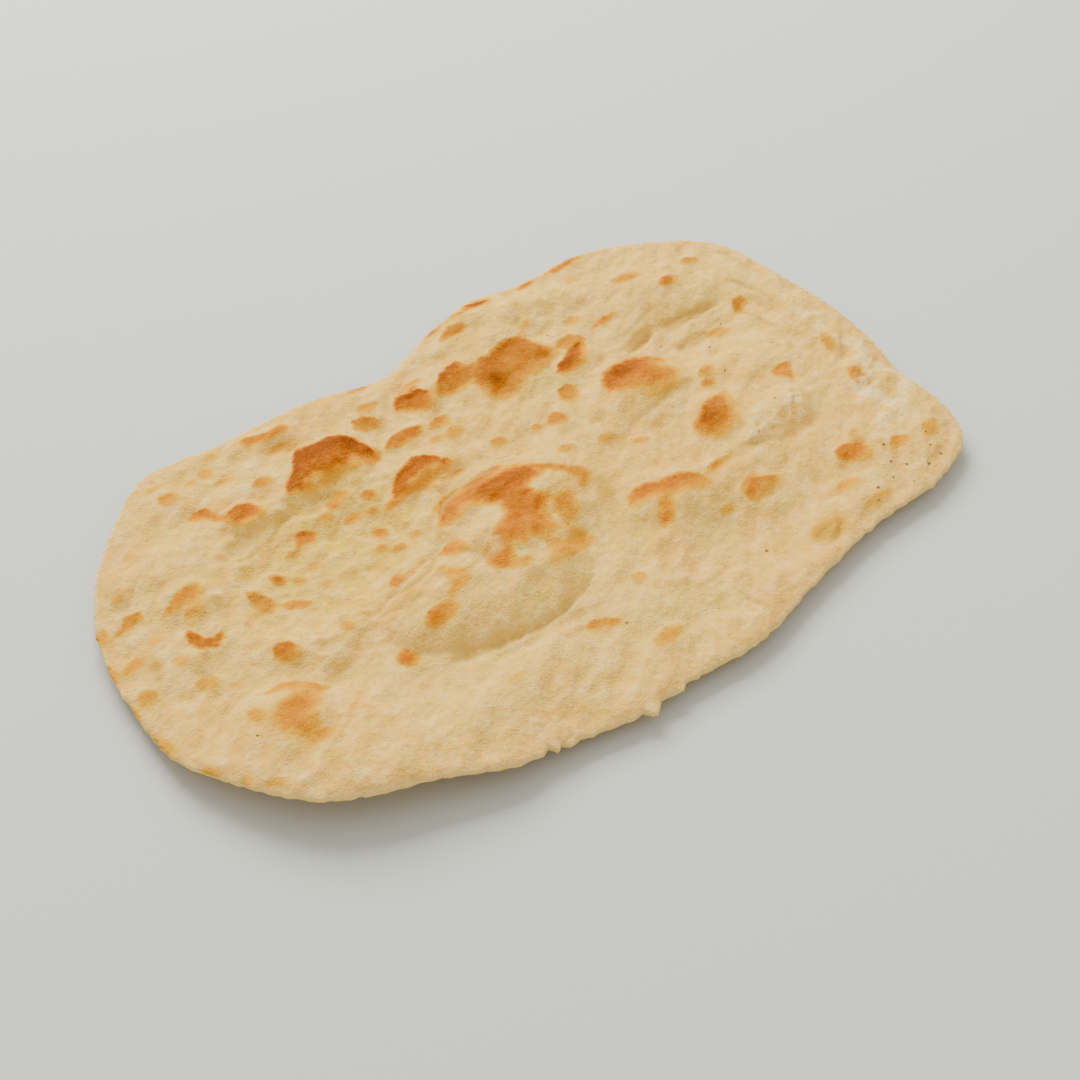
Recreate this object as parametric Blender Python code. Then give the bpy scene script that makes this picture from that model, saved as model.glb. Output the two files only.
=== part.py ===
"""Lavash: one thin sheet of baked flatbread, blistered on top, resting on a table.

The sheet is a grid stretched between the four sides of its uneven outline, then extruded
into a solid. Its upper face carries the broad swells, the big bubble, the blisters and the
folds. Its lower face follows the broad swells alone, and is pressed flat wherever the sheet
touches the table. Dimensions are in millimetres and become metres at the end.
"""

import bmesh
import bpy
import numpy as np

MM = 0.001
OBJECT_NAME = "lavash"

# Sheet: its thickness, the thickness left at the rim, and how far in the rim is rounded.
SHEET_THICKNESS = 3.0
RIM_THICKNESS = 1.2
RIM_ROUNDING = 3.0
SHEET_RISE = 5.2
RIM_CURL = 0.5
RIM_CURL_WIDTH = 6.0

# Grid: cells along and across the sheet, and the narrow rows that round its rim.
CELLS_ALONG = 64
CELLS_ACROSS = 40
RIM_ROWS = (1.0, 1.6, 2.4)
OUTLINE_STEPS = 10

# Outline, one corner and the points up to the next corner a line, going round clockwise.
LEFT_SIDE = ((-156, -74), (-170, -61), (-180, -40), (-185, -14), (-180, 15), (-170, 45))
FAR_SIDE = (
    (-150, 74), (-125, 95), (-108, 106), (-92, 106), (-72, 102), (-45, 100), (-27, 97),
    (-10, 90), (2, 88), (18, 92), (40, 98), (62, 102), (84, 96), (116, 94), (136, 87),
)
RIGHT_SIDE = ((162, 68), (172, 49), (170, 22), (165, -12), (157, -36), (145, -60), (139, -82))
NEAR_SIDE = (
    (128, -101), (112, -108), (92, -110), (60, -108), (20, -111), (-15, -115), (-45, -110),
    (-66, -109), (-82, -104), (-100, -98), (-116, -95), (-138, -83),
)
SIDES = (LEFT_SIDE, FAR_SIDE, RIGHT_SIDE, NEAR_SIDE)

# Broad swells of the whole sheet: x, y, half length, half width, turn in degrees, height.
SWELLS = (
    (-88, 22, 56, 36, 12, -6.5),
    (112, 18, 50, 30, -5, -6.0),
    (28, -80, 70, 28, 3, -6.0),
    (-135, 56, 34, 24, 25, 3.0),
    (-86, -72, 44, 26, 12, 3.0),
    (-152, -62, 82, 46, -44, 8.0),
    (52, 80, 48, 22, 0, 6.0),
    (148, -10, 70, 18, 76, 4.0),
    (118, -78, 40, 26, 0, 2.0),
    (-112, -24, 34, 10, 20, -2.5),
    (-78, 50, 50, 7, 3, -1.6),
)

# The big bubble, a low near part and a browned far part, in the same order of sizes.
DOME = (
    (-62, -32, 41, 25, -12, 10.0),
    (-24, -10, 38, 26, 10, 10.5),
)
DOME_FULLNESS = 0.7

# Bubbles in the upper face: x, y, half length, half width, turn in degrees, height.
BUBBLES = (
    (-34, 2, 26, 10, 3, 1.6),
    (-54, 61, 27, 17, 8, 5.5),
    (-31, 31, 19, 12, 14, 4.0),
    (38, 55, 30, 22, 12, 4.5),
    (10, 66, 22, 12, 10, 2.5),
    (64, 6, 30, 22, 0, 5.0),
    (72, -26, 18, 12, 20, 3.5),
    (86, -42, 24, 14, 0, 4.5),
    (24, -44, 24, 16, -10, 4.0),
    (48, -68, 17, 11, 8, 2.4),
    (90, -80, 13, 9, 0, 2.0),
    (-3, 64, 13, 11, 0, 3.0),
    (-24, 69, 9, 8, 0, 2.4),
    (-21, 52, 13, 7, 0, 2.4),
    (-94, 60, 12, 10, 0, 3.0),
    (-150, -28, 24, 19, 10, 4.0),
    (-127, -6, 14, 12, 0, 3.0),
    (-138, 38, 14, 11, 20, 2.8),
    (-150, 18, 10, 12, 0, 2.2),
    (-87, 33, 9, 7, 0, 2.2),
    (-118, 18, 9, 9, 0, 2.2),
    (-82, -30, 12, 8, 12, 1.2),
    (-80, -72, 28, 15, 8, 1.6),
    (-20, -76, 26, 13, 4, 2.4),
    (60, 36, 17, 8, 12, 3.0),
    (45, 88, 14, 7, 0, 2.2),
    (-60, 90, 18, 8, -10, 2.4),
    (-110, 84, 16, 10, 25, 2.4),
    (128, -50, 10, 11, 0, 2.4),
    (112, -22, 20, 14, 0, 2.4),
    (8, -88, 28, 12, 5, 1.8),
    (60, -96, 26, 9, 0, 1.8),
    (112, -94, 16, 9, 15, 1.8),
    (120, 54, 30, 13, 0, 2.8),
    (96, 72, 28, 11, -6, 2.2),
    (28, 10, 20, 16, 0, 2.2),
    (14, 30, 16, 12, 10, 2.0),
    (-148, 62, 13, 8, 45, 2.0),
)

# Folds pressed into the upper face: x, y, half length, half width, turn in degrees, height.
FOLDS = (
    (94, 32, 20, 3.5, 8, -2.0),
    (122, 29, 24, 5.0, -8, -2.8),
    (114, 17, 24, 4.0, -8, -2.2),
    (143, 6, 17, 5.5, 76, -3.0),
    (-20, 22, 36, 4.5, -6, -1.2),
    (-78, -8, 28, 3.4, 11, -2.6),
    (-66, -62, 34, 4.0, -8, -1.2),
    (70, -6, 24, 4.0, -4, -1.2),
    (60, -48, 26, 4.0, -6, -1.4),
)

CRUST_COLOUR = (0.74, 0.56, 0.33, 1.0)
CRUST_ROUGHNESS = 0.8


def clear_scene():
    """Remove every object that the scene starts with."""
    for item in list(bpy.data.objects):
        bpy.data.objects.remove(item, do_unlink=True)


def smooth_outline():
    """Return a dense smooth closed line through the outline's points."""
    knots = np.array([point for side in SIDES for point in side], dtype=float)
    following = np.roll(knots, -1, axis=0)
    tangents = 0.5 * (following - np.roll(knots, 1, axis=0))
    next_tangents = np.roll(tangents, -1, axis=0)
    steps = np.arange(OUTLINE_STEPS)[None, :, None] / OUTLINE_STEPS
    end_weight = 3.0 * steps**2 - 2.0 * steps**3
    start_pull = steps**3 - 2.0 * steps**2 + steps
    end_pull = steps**3 - steps**2
    line = (
        (1.0 - end_weight) * knots[:, None]
        + start_pull * tangents[:, None]
        + end_weight * following[:, None]
        + end_pull * next_tangents[:, None]
    )
    return line.reshape(-1, 2)


def outline_sides(outline):
    """Split the closed outline into its four sides, each with both of its corners."""
    closed = np.concatenate((outline, outline[:1]))
    sides = []
    start = 0
    for side in SIDES:
        end = start + len(side) * OUTLINE_STEPS
        sides.append(closed[start : end + 1])
        start = end
    return sides


def along(line, fractions):
    """Return the points at the given fractions of a line's length."""
    lengths = np.linalg.norm(np.diff(line, axis=0), axis=1)
    travelled = np.concatenate(([0.0], np.cumsum(lengths)))
    wanted = fractions * travelled[-1]
    return np.stack([np.interp(wanted, travelled, line[:, axis]) for axis in (0, 1)], axis=-1)


def row_fractions(cells, length):
    """Return the grid lines' fractions from 0 to 1, with narrow rows at both ends."""
    inner_cells = cells - 2 * len(RIM_ROWS)
    inner = (length - 2.0 * sum(RIM_ROWS)) / inner_cells
    widths = RIM_ROWS + (inner,) * inner_cells + RIM_ROWS[::-1]
    return np.concatenate(([0.0], np.cumsum(widths))) / length


def stretched_grid(outline):
    """Return the plan position of every grid point, stretched between the four sides."""
    left, far, right, near = outline_sides(outline)
    across = row_fractions(CELLS_ACROSS, np.ptp(outline[:, 1]))
    lengthwise = row_fractions(CELLS_ALONG, np.ptp(outline[:, 0]))
    left_points = along(left, across)[:, None]
    right_points = along(right[::-1], across)[:, None]
    far_points = along(far, lengthwise)[None]
    near_points = along(near[::-1], lengthwise)[None]
    u = lengthwise[None, :, None]
    v = across[:, None, None]
    corners = (
        (1.0 - u) * (1.0 - v) * left[0]
        + (1.0 - u) * v * left[-1]
        + u * (1.0 - v) * right[-1]
        + u * v * right[0]
    )
    across_sides = (1.0 - u) * left_points + u * right_points
    along_sides = (1.0 - v) * near_points + v * far_points
    return across_sides + along_sides - corners


def rim_distance(x, y, outline):
    """Return how far each point lies from the outline."""
    start = outline
    step = np.roll(outline, -1, axis=0) - outline
    nearest = np.full(x.shape, np.inf)
    for (start_x, start_y), (step_x, step_y) in zip(start, step):
        share = ((x - start_x) * step_x + (y - start_y) * step_y) / (step_x**2 + step_y**2)
        share = np.clip(share, 0.0, 1.0)
        gap = np.hypot(x - start_x - share * step_x, y - start_y - share * step_y)
        nearest = np.minimum(nearest, gap)
    return nearest


def mound(x, y, shape, fullness):
    """Return the height of one rounded mound or hollow, zero beyond its edge."""
    centre_x, centre_y, half_length, half_width, turn, height = shape
    angle = np.radians(turn)
    lengthwise = (x - centre_x) * np.cos(angle) + (y - centre_y) * np.sin(angle)
    crosswise = (y - centre_y) * np.cos(angle) - (x - centre_x) * np.sin(angle)
    reach = (lengthwise / half_length) ** 2 + (crosswise / half_width) ** 2
    return height * np.clip(1.0 - reach, 0.0, None) ** fullness


def swell_height(x, y, rim):
    """Return the broad rise and fall of the whole sheet."""
    height = np.full(x.shape, SHEET_RISE)
    for shape in SWELLS:
        height = height + mound(x, y, shape, 2.0)
    curl = np.clip(1.0 - rim / RIM_CURL_WIDTH, 0.0, None) ** 2
    return height - RIM_CURL * curl


def crust_height(x, y):
    """Return the big bubble, the blisters and the folds that only the upper face carries."""
    height = np.zeros(x.shape)
    for shape in DOME:
        height = height + mound(x, y, shape, DOME_FULLNESS)
    for shape in BUBBLES:
        height = height + mound(x, y, shape, 1.3)
    for shape in FOLDS:
        height = height + mound(x, y, shape, 2.0)
    return height


def sheet_faces(x, y, outline):
    """Return the heights of the lower and upper faces over the given points."""
    rim = rim_distance(x, y, outline)
    inset = np.clip(1.0 - rim / RIM_ROUNDING, 0.0, 1.0)
    fullness = np.sqrt(1.0 - inset**2)
    thickness = RIM_THICKNESS + (SHEET_THICKNESS - RIM_THICKNESS) * fullness
    middle = swell_height(x, y, rim) + SHEET_THICKNESS / 2.0
    lower = np.maximum(middle - thickness / 2.0, 0.0)
    upper = np.maximum(middle + thickness / 2.0, lower + thickness) + fullness * crust_height(x, y)
    return lower, upper


def build_sheet(collection):
    """Extrude the grid into one solid and lay its two faces over the sheet's heights."""
    outline = smooth_outline()
    plan = stretched_grid(outline)
    lower, upper = sheet_faces(plan[..., 0], plan[..., 1], outline)
    centre = (plan.min(axis=(0, 1)) + plan.max(axis=(0, 1))) / 2.0

    shell = bmesh.new()
    bmesh.ops.create_grid(shell, x_segments=CELLS_ALONG, y_segments=CELLS_ACROSS, size=1.0)
    bmesh.ops.triangulate(shell, faces=shell.faces[:], quad_method="FIXED")
    extruded = bmesh.ops.extrude_face_region(shell, geom=shell.faces[:])
    raised = [item for item in extruded["geom"] if isinstance(item, bmesh.types.BMVert)]
    bmesh.ops.translate(shell, verts=raised, vec=(0.0, 0.0, 1.0))
    for point in shell.verts:
        column = round((point.co.x + 1.0) / 2.0 * CELLS_ALONG)
        row = round((point.co.y + 1.0) / 2.0 * CELLS_ACROSS)
        face = upper if point.co.z > 0.5 else lower
        place_x, place_y = plan[row, column] - centre
        point.co = (place_x * MM, place_y * MM, face[row, column] * MM)
    bmesh.ops.triangulate(shell, faces=[face for face in shell.faces if len(face.verts) > 3])
    bmesh.ops.recalc_face_normals(shell, faces=shell.faces[:])

    mesh = bpy.data.meshes.new(OBJECT_NAME)
    shell.to_mesh(mesh)
    shell.free()
    mesh.shade_smooth()
    sheet = bpy.data.objects.new(OBJECT_NAME, mesh)
    collection.objects.link(sheet)
    sheet.data.materials.append(crust_material())
    return sheet


def crust_material():
    """Return the matt, creamy tan crust."""
    material = bpy.data.materials.new("crust")
    material.use_nodes = True
    shader = material.node_tree.nodes["Principled BSDF"]
    shader.inputs["Base Color"].default_value = CRUST_COLOUR
    shader.inputs["Roughness"].default_value = CRUST_ROUGHNESS
    shader.inputs["Metallic"].default_value = 0.0
    return material


def main():
    """Build the lavash in a collection of its own."""
    clear_scene()
    collection = bpy.data.collections.new(OBJECT_NAME)
    bpy.context.scene.collection.children.link(collection)
    build_sheet(collection)


main()
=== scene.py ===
"""Looks of the lavash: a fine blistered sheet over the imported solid, and a plain studio."""

import logging
import math
from dataclasses import dataclass, field
from enum import Enum

import bmesh
import bpy
import numpy as np
from mathutils import Matrix, Vector


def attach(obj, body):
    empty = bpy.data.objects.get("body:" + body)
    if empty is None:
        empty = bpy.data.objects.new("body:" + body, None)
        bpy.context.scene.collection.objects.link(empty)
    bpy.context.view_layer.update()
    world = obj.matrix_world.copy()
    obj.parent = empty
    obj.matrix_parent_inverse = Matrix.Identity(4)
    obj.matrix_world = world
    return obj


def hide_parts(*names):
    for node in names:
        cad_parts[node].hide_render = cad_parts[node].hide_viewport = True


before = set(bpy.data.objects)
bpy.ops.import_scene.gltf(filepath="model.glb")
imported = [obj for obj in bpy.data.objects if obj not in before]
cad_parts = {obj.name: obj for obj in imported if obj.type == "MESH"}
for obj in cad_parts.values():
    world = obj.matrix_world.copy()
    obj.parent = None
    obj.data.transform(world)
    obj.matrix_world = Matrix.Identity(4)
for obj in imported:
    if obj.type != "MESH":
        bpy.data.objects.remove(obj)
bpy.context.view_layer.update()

MM = 0.001
NODE = "lavash"
SHEET_NAME = "lavash_sheet"
NOISE_MIDDLE = 0.5

Place = tuple[float, float]
Colour = tuple[float, float, float, float]
Stops = tuple[tuple[float, Colour], ...]
Source = bpy.types.NodeSocket | float | Colour

log = logging.getLogger(NODE)


class Painted(Enum):
    """The values painted on the crust's points, which its finish reads."""

    EDGE = "edge"
    SOFT = "soft"
    DEPTH = "depth"
    GOLD = "gold"
    THIN = "thin"
    CHAR = "char"
    # The next two: white flour that in places is painted sheen, and painted shade along the creases.
    FLOUR_AND_SHEEN = "flour"
    CREASE_SHADE = "crease"
    RIM = "rim"
    LIP = "lip"


# The lower face carries only these, so that the rim's tan and its broken lip run round it.
PAINTED_BELOW = (Painted.RIM, Painted.LIP)


# ---------------------------------------------------------------------------
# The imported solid's form
# ---------------------------------------------------------------------------


def line_distance(x: np.ndarray, y: np.ndarray, line: np.ndarray) -> np.ndarray:
    """Measure how far each point lies from a line of straight pieces.

    Args:
        x: Places along the sheet, in millimetres.
        y: Places across the sheet, in millimetres.
        line: The line's points.

    Returns:
        Distances in millimetres.
    """
    nearest = np.full(x.shape, np.inf)
    for (start_x, start_y), (step_x, step_y) in zip(line[:-1], np.diff(line, axis=0)):
        share = ((x - start_x) * step_x + (y - start_y) * step_y) / (step_x**2 + step_y**2)
        share = np.clip(share, 0.0, 1.0)
        gap = np.hypot(x - start_x - share * step_x, y - start_y - share * step_y)
        nearest = np.minimum(nearest, gap)
    return nearest


def points_along(line: np.ndarray, fractions: np.ndarray) -> np.ndarray:
    """Find the points at the given fractions of a line's length.

    Args:
        line: The line's points.
        fractions: Places along it, from 0 to 1.

    Returns:
        One point for each fraction.
    """
    lengths = np.linalg.norm(np.diff(line, axis=0), axis=1)
    travelled = np.concatenate(([0.0], np.cumsum(lengths)))
    wanted = fractions * travelled[-1]
    return np.stack([np.interp(wanted, travelled, line[:, axis]) for axis in (0, 1)], axis=-1)


def turned(
    x: np.ndarray, y: np.ndarray, middle: Place, turn: float
) -> tuple[np.ndarray, np.ndarray]:
    """Measure each point lengthwise and crosswise from the middle of a turned shape.

    Args:
        x: Places along the sheet, in millimetres.
        y: Places across the sheet, in millimetres.
        middle: The shape's middle.
        turn: How far the shape is turned, in degrees.

    Returns:
        Distances along and across the shape, in millimetres.
    """
    angle = math.radians(turn)
    lengthwise = (x - middle[0]) * math.cos(angle) + (y - middle[1]) * math.sin(angle)
    crosswise = (y - middle[1]) * math.cos(angle) - (x - middle[0]) * math.sin(angle)
    return lengthwise, crosswise


@dataclass(frozen=True)
class Mound:
    """A rounded rise or hollow with an oval plan, in millimetres, turned in degrees."""

    x: float
    y: float
    half_length: float
    half_width: float
    turn: float
    height: float = 1.0

    def reach(self, x: np.ndarray, y: np.ndarray) -> np.ndarray:
        """Tell how far out each point lies, squared.

        Args:
            x: Places along the sheet, in millimetres.
            y: Places across the sheet, in millimetres.

        Returns:
            0 at the mound's middle and 1 at its edge.
        """
        lengthwise, crosswise = turned(x, y, (self.x, self.y), self.turn)
        return (lengthwise / self.half_length) ** 2 + (crosswise / self.half_width) ** 2

    def over(self, x: np.ndarray, y: np.ndarray, softness: float) -> np.ndarray:
        """Give the mound's height over each point.

        Args:
            x: Places along the sheet, in millimetres.
            y: Places across the sheet, in millimetres.
            softness: Power of the profile. A higher power gives a softer foot.

        Returns:
            Heights in millimetres, zero beyond the mound's edge.
        """
        return self.height * np.clip(1.0 - self.reach(x, y), 0.0, None) ** softness


@dataclass(frozen=True)
class Outline:
    """The sheet's uneven outline: four sides that meet at its corners, going round clockwise."""

    left: tuple[Place, ...] = (
        (-156, -74), (-170, -61), (-180, -40), (-185, -14), (-180, 15), (-170, 45),
    )
    far: tuple[Place, ...] = (
        (-150, 74), (-125, 95), (-108, 106), (-92, 106), (-72, 102), (-45, 100), (-27, 97),
        (-10, 90), (2, 88), (18, 92), (40, 98), (62, 102), (84, 96), (116, 94), (136, 87),
    )
    right: tuple[Place, ...] = (
        (162, 68), (172, 49), (170, 22), (165, -12), (157, -36), (145, -60), (139, -82),
    )
    near: tuple[Place, ...] = (
        (128, -101), (112, -108), (92, -110), (60, -108), (20, -111), (-15, -115), (-45, -110),
        (-66, -109), (-82, -104), (-100, -98), (-116, -95), (-138, -83),
    )
    steps: int = 10

    def sides(self) -> list[np.ndarray]:
        """Smooth the outline and split it at its corners.

        Returns:
            The left, far, right and near lines, each with both of its corners.
        """
        sides = (self.left, self.far, self.right, self.near)
        knots = np.array([point for side in sides for point in side], dtype=float)
        following = np.roll(knots, -1, axis=0)
        tangents = 0.5 * (following - np.roll(knots, 1, axis=0))
        next_tangents = np.roll(tangents, -1, axis=0)
        steps = np.arange(self.steps)[None, :, None] / self.steps
        end_weight = 3.0 * steps**2 - 2.0 * steps**3
        line = (
            (1.0 - end_weight) * knots[:, None]
            + (steps**3 - 2.0 * steps**2 + steps) * tangents[:, None]
            + end_weight * following[:, None]
            + (steps**3 - steps**2) * next_tangents[:, None]
        ).reshape(-1, 2)
        closed = np.concatenate((line, line[:1]))
        ends = np.cumsum([0] + [len(side) * self.steps for side in sides])
        return [closed[start : end + 1] for start, end in zip(ends[:-1], ends[1:])]

    def rim_distance(self, x: np.ndarray, y: np.ndarray) -> np.ndarray:
        """Measure how far each point lies from the outline.

        Args:
            x: Places along the sheet, in millimetres.
            y: Places across the sheet, in millimetres.

        Returns:
            Distances in millimetres.
        """
        closed = np.concatenate([line[:-1] for line in self.sides()])
        return line_distance(x, y, np.concatenate((closed, closed[:1])))


@dataclass(frozen=True)
class SheetForm:
    """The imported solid's form, from the same sizes: thickness, broad swells, bubbles and folds."""

    thickness: float = 3.0
    rim_thickness: float = 1.2
    rim_rounding: float = 3.0
    rise: float = 5.2
    rim_curl: float = 0.5
    rim_curl_width: float = 6.0
    swell_softness: float = 2.0
    dome_softness: float = 0.7
    bubble_softness: float = 1.3
    swells: tuple[Mound, ...] = (
        Mound(-88, 22, 56, 36, 12, -6.5),
        Mound(112, 18, 50, 30, -5, -6.0),
        Mound(28, -80, 70, 28, 3, -6.0),
        Mound(-135, 56, 34, 24, 25, 3.0),
        Mound(-86, -72, 44, 26, 12, 3.0),
        Mound(-152, -62, 82, 46, -44, 8.0),
        Mound(52, 80, 48, 22, 0, 6.0),
        Mound(148, -10, 70, 18, 76, 4.0),
        Mound(118, -78, 40, 26, 0, 2.0),
        Mound(-112, -24, 34, 10, 20, -2.5),
        Mound(-78, 50, 50, 7, 3, -1.6),
    )
    dome: tuple[Mound, ...] = (
        Mound(-62, -32, 41, 25, -12, 10.0),
        Mound(-24, -10, 38, 26, 10, 10.5),
    )
    bubbles: tuple[Mound, ...] = (
        Mound(-34, 2, 26, 10, 3, 1.6),
        Mound(-54, 61, 27, 17, 8, 5.5),
        Mound(-31, 31, 19, 12, 14, 4.0),
        Mound(38, 55, 30, 22, 12, 4.5),
        Mound(10, 66, 22, 12, 10, 2.5),
        Mound(64, 6, 30, 22, 0, 5.0),
        Mound(72, -26, 18, 12, 20, 3.5),
        Mound(86, -42, 24, 14, 0, 4.5),
        Mound(24, -44, 24, 16, -10, 4.0),
        Mound(48, -68, 17, 11, 8, 2.4),
        Mound(90, -80, 13, 9, 0, 2.0),
        Mound(-3, 64, 13, 11, 0, 3.0),
        Mound(-24, 69, 9, 8, 0, 2.4),
        Mound(-21, 52, 13, 7, 0, 2.4),
        Mound(-94, 60, 12, 10, 0, 3.0),
        Mound(-150, -28, 24, 19, 10, 4.0),
        Mound(-127, -6, 14, 12, 0, 3.0),
        Mound(-138, 38, 14, 11, 20, 2.8),
        Mound(-150, 18, 10, 12, 0, 2.2),
        Mound(-87, 33, 9, 7, 0, 2.2),
        Mound(-118, 18, 9, 9, 0, 2.2),
        Mound(-82, -30, 12, 8, 12, 1.2),
        Mound(-80, -72, 28, 15, 8, 1.6),
        Mound(-20, -76, 26, 13, 4, 2.4),
        Mound(60, 36, 17, 8, 12, 3.0),
        Mound(45, 88, 14, 7, 0, 2.2),
        Mound(-60, 90, 18, 8, -10, 2.4),
        Mound(-110, 84, 16, 10, 25, 2.4),
        Mound(128, -50, 10, 11, 0, 2.4),
        Mound(112, -22, 20, 14, 0, 2.4),
        Mound(8, -88, 28, 12, 5, 1.8),
        Mound(60, -96, 26, 9, 0, 1.8),
        Mound(112, -94, 16, 9, 15, 1.8),
        Mound(120, 54, 30, 13, 0, 2.8),
        Mound(96, 72, 28, 11, -6, 2.2),
        Mound(28, 10, 20, 16, 0, 2.2),
        Mound(14, 30, 16, 12, 10, 2.0),
        Mound(-148, 62, 13, 8, 45, 2.0),
    )
    folds: tuple[Mound, ...] = (
        Mound(94, 32, 20, 3.5, 8, -2.0),
        Mound(122, 29, 24, 5.0, -8, -2.8),
        Mound(114, 17, 24, 4.0, -8, -2.2),
        Mound(143, 6, 17, 5.5, 76, -3.0),
        Mound(-20, 22, 36, 4.5, -6, -1.2),
        Mound(-78, -8, 28, 3.4, 11, -2.6),
        Mound(-66, -62, 34, 4.0, -8, -1.2),
        Mound(70, -6, 24, 4.0, -4, -1.2),
        Mound(60, -48, 26, 4.0, -6, -1.4),
    )

    def faces(
        self, x: np.ndarray, y: np.ndarray, rim: np.ndarray
    ) -> tuple[np.ndarray, np.ndarray]:
        """Give the sheet's lower and upper faces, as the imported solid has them.

        Args:
            x: Places along the sheet, in millimetres.
            y: Places across the sheet, in millimetres.
            rim: Each place's distance from the outline.

        Returns:
            Heights of the lower and the upper face, in millimetres.
        """
        inset = np.clip(1.0 - rim / self.rim_rounding, 0.0, 1.0)
        fullness = np.sqrt(1.0 - inset**2)
        thickness = self.rim_thickness + (self.thickness - self.rim_thickness) * fullness
        middle = self.rise + sum(swell.over(x, y, self.swell_softness) for swell in self.swells)
        middle = middle - self.rim_curl * np.clip(1.0 - rim / self.rim_curl_width, 0.0, None) ** 2
        middle = middle + self.thickness / 2.0
        lower = np.maximum(middle - thickness / 2.0, 0.0)
        crust = sum(part.over(x, y, self.dome_softness) for part in self.dome)
        crust = crust + sum(bubble.over(x, y, self.bubble_softness) for bubble in self.bubbles)
        crust = crust + sum(fold.over(x, y, self.swell_softness) for fold in self.folds)
        upper = np.maximum(middle + thickness / 2.0, lower + thickness) + fullness * crust
        return lower, upper


# ---------------------------------------------------------------------------
# Browned areas, creases and seeded relief
# ---------------------------------------------------------------------------


@dataclass(frozen=True)
class Paint:
    """What one browned area adds over the crust's points.

    Edge is how far inside the area each point lies, in millimetres, negative outside. Soft is
    half the width over which the browning fades there. Depth and gold are its colour.
    """

    edge: np.ndarray
    soft: np.ndarray
    depth: np.ndarray
    gold: float


@dataclass(frozen=True)
class Blister:
    """A small browned bubble with an oval plan, crisp and darkest along its far edge.

    Sizes are in millimetres and the turn in degrees. Depth runs from 0, hardly coloured, to 1,
    dark red-brown. Puff is how much the blister itself stands up, 0 where the form already has
    it. Fade is the softness of the near edge, and crisp that of the far edge. Gold runs from 0,
    red-brown, to 1, yellow amber. Depth changes by far_gain from the middle to the far edge.
    The last three are the rise's half sizes and its shift, as shares of the browning's sizes.
    """

    x: float
    y: float
    length: float
    width: float
    turn: float
    depth: float
    puff: float
    fade: float
    gold: float
    crisp: float = 0.7
    middle_share: float = 0.76
    far_gain: float = 0.40
    rise: float = 1.3
    rise_length: float = 0.66
    rise_width: float = 0.74
    near_shift: float = 0.16

    def paint(self, x: np.ndarray, y: np.ndarray) -> Paint:
        """Give the blister's browning over each point.

        Args:
            x: Places along the slanted plan, in millimetres.
            y: Places across the slanted plan, in millimetres.

        Returns:
            The browning.
        """
        lengthwise, crosswise = turned(x, y, (self.x, self.y), self.turn)
        u = lengthwise / (0.5 * self.length)
        v = crosswise / (0.5 * self.width)
        edge = (1.0 - np.hypot(u, v)) * 0.5 * min(self.length, self.width)
        far = np.clip(v, -1.0, 1.0)
        soft = self.crisp + (self.fade - self.crisp) * (1.0 - far) / 2.0
        depth = self.depth * (self.middle_share + self.far_gain * far)
        return Paint(edge, soft, depth, self.gold)

    def mound(self, x: float, y: float) -> Mound:
        """Give the small rise under the browning.

        Args:
            x: Where the blister stands along the sheet, in millimetres.
            y: Where it stands across the sheet, in millimetres.

        Returns:
            The rise, a little nearer than the browning and wider.
        """
        half_length, half_width = self.rise_length * self.length, self.rise_width * self.width
        nearer = y - self.near_shift * self.width
        return Mound(x, nearer, half_length, half_width, self.turn, self.rise * self.puff)


@dataclass(frozen=True)
class Scorch:
    """A larger browned area between a far line and a near line, both given from left to right.

    Sizes are in millimetres. The far edge is crisp and the near edge fades. Depths run from 0,
    hardly coloured, to 1, dark red-brown, and gold from 0, red-brown, to 1, yellow amber. The
    crispness grows by crisp_gain from near to far, beginning crisp_from late. Least_gap keeps
    the share of the way across sound where both lines meet.
    """

    far: tuple[Place, ...]
    near: tuple[Place, ...]
    far_depth: float
    near_depth: float
    fade: float
    gold: float
    crisp: float = 0.5
    crisp_from: float = 0.3
    crisp_gain: float = 1.6
    least_gap: float = 0.01

    def paint(self, x: np.ndarray, y: np.ndarray) -> Paint:
        """Give the area's browning over each point.

        Args:
            x: Places along the slanted plan, in millimetres.
            y: Places across the slanted plan, in millimetres.

        Returns:
            The browning.
        """
        far = np.array(self.far, dtype=float)
        near = np.array(self.near, dtype=float)
        far_gap = line_distance(x, y, far)
        near_gap = line_distance(x, y, np.concatenate((far[:1], near, far[-1:])))
        gap = np.minimum(far_gap, near_gap)
        inside = self.holds(x, y, np.concatenate((far, near[::-1])))
        back = near_gap / (near_gap + far_gap + self.least_gap)
        crispness = np.clip(self.crisp_gain * back - self.crisp_from, 0.0, 1.0)
        soft = self.fade + (self.crisp - self.fade) * crispness
        depth = self.near_depth + (self.far_depth - self.near_depth) * back
        return Paint(np.where(inside, gap, -gap), soft, depth, self.gold)

    @staticmethod
    def holds(x: np.ndarray, y: np.ndarray, corners: np.ndarray) -> np.ndarray:
        """Tell which points lie inside a closed line.

        Args:
            x: Places along the slanted plan, in millimetres.
            y: Places across the slanted plan, in millimetres.
            corners: The closed line's corners, in order.

        Returns:
            True for each point inside it.
        """
        inside = np.zeros(x.shape, dtype=bool)
        for (x0, y0), (x1, y1) in zip(corners, np.roll(corners, -1, axis=0)):
            if y0 != y1:
                crossing = x0 + (y - y0) * (x1 - x0) / (y1 - y0)
                inside ^= ((y > min(y0, y1)) & (y <= max(y0, y1))) & (x < crossing)
        return inside


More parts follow.
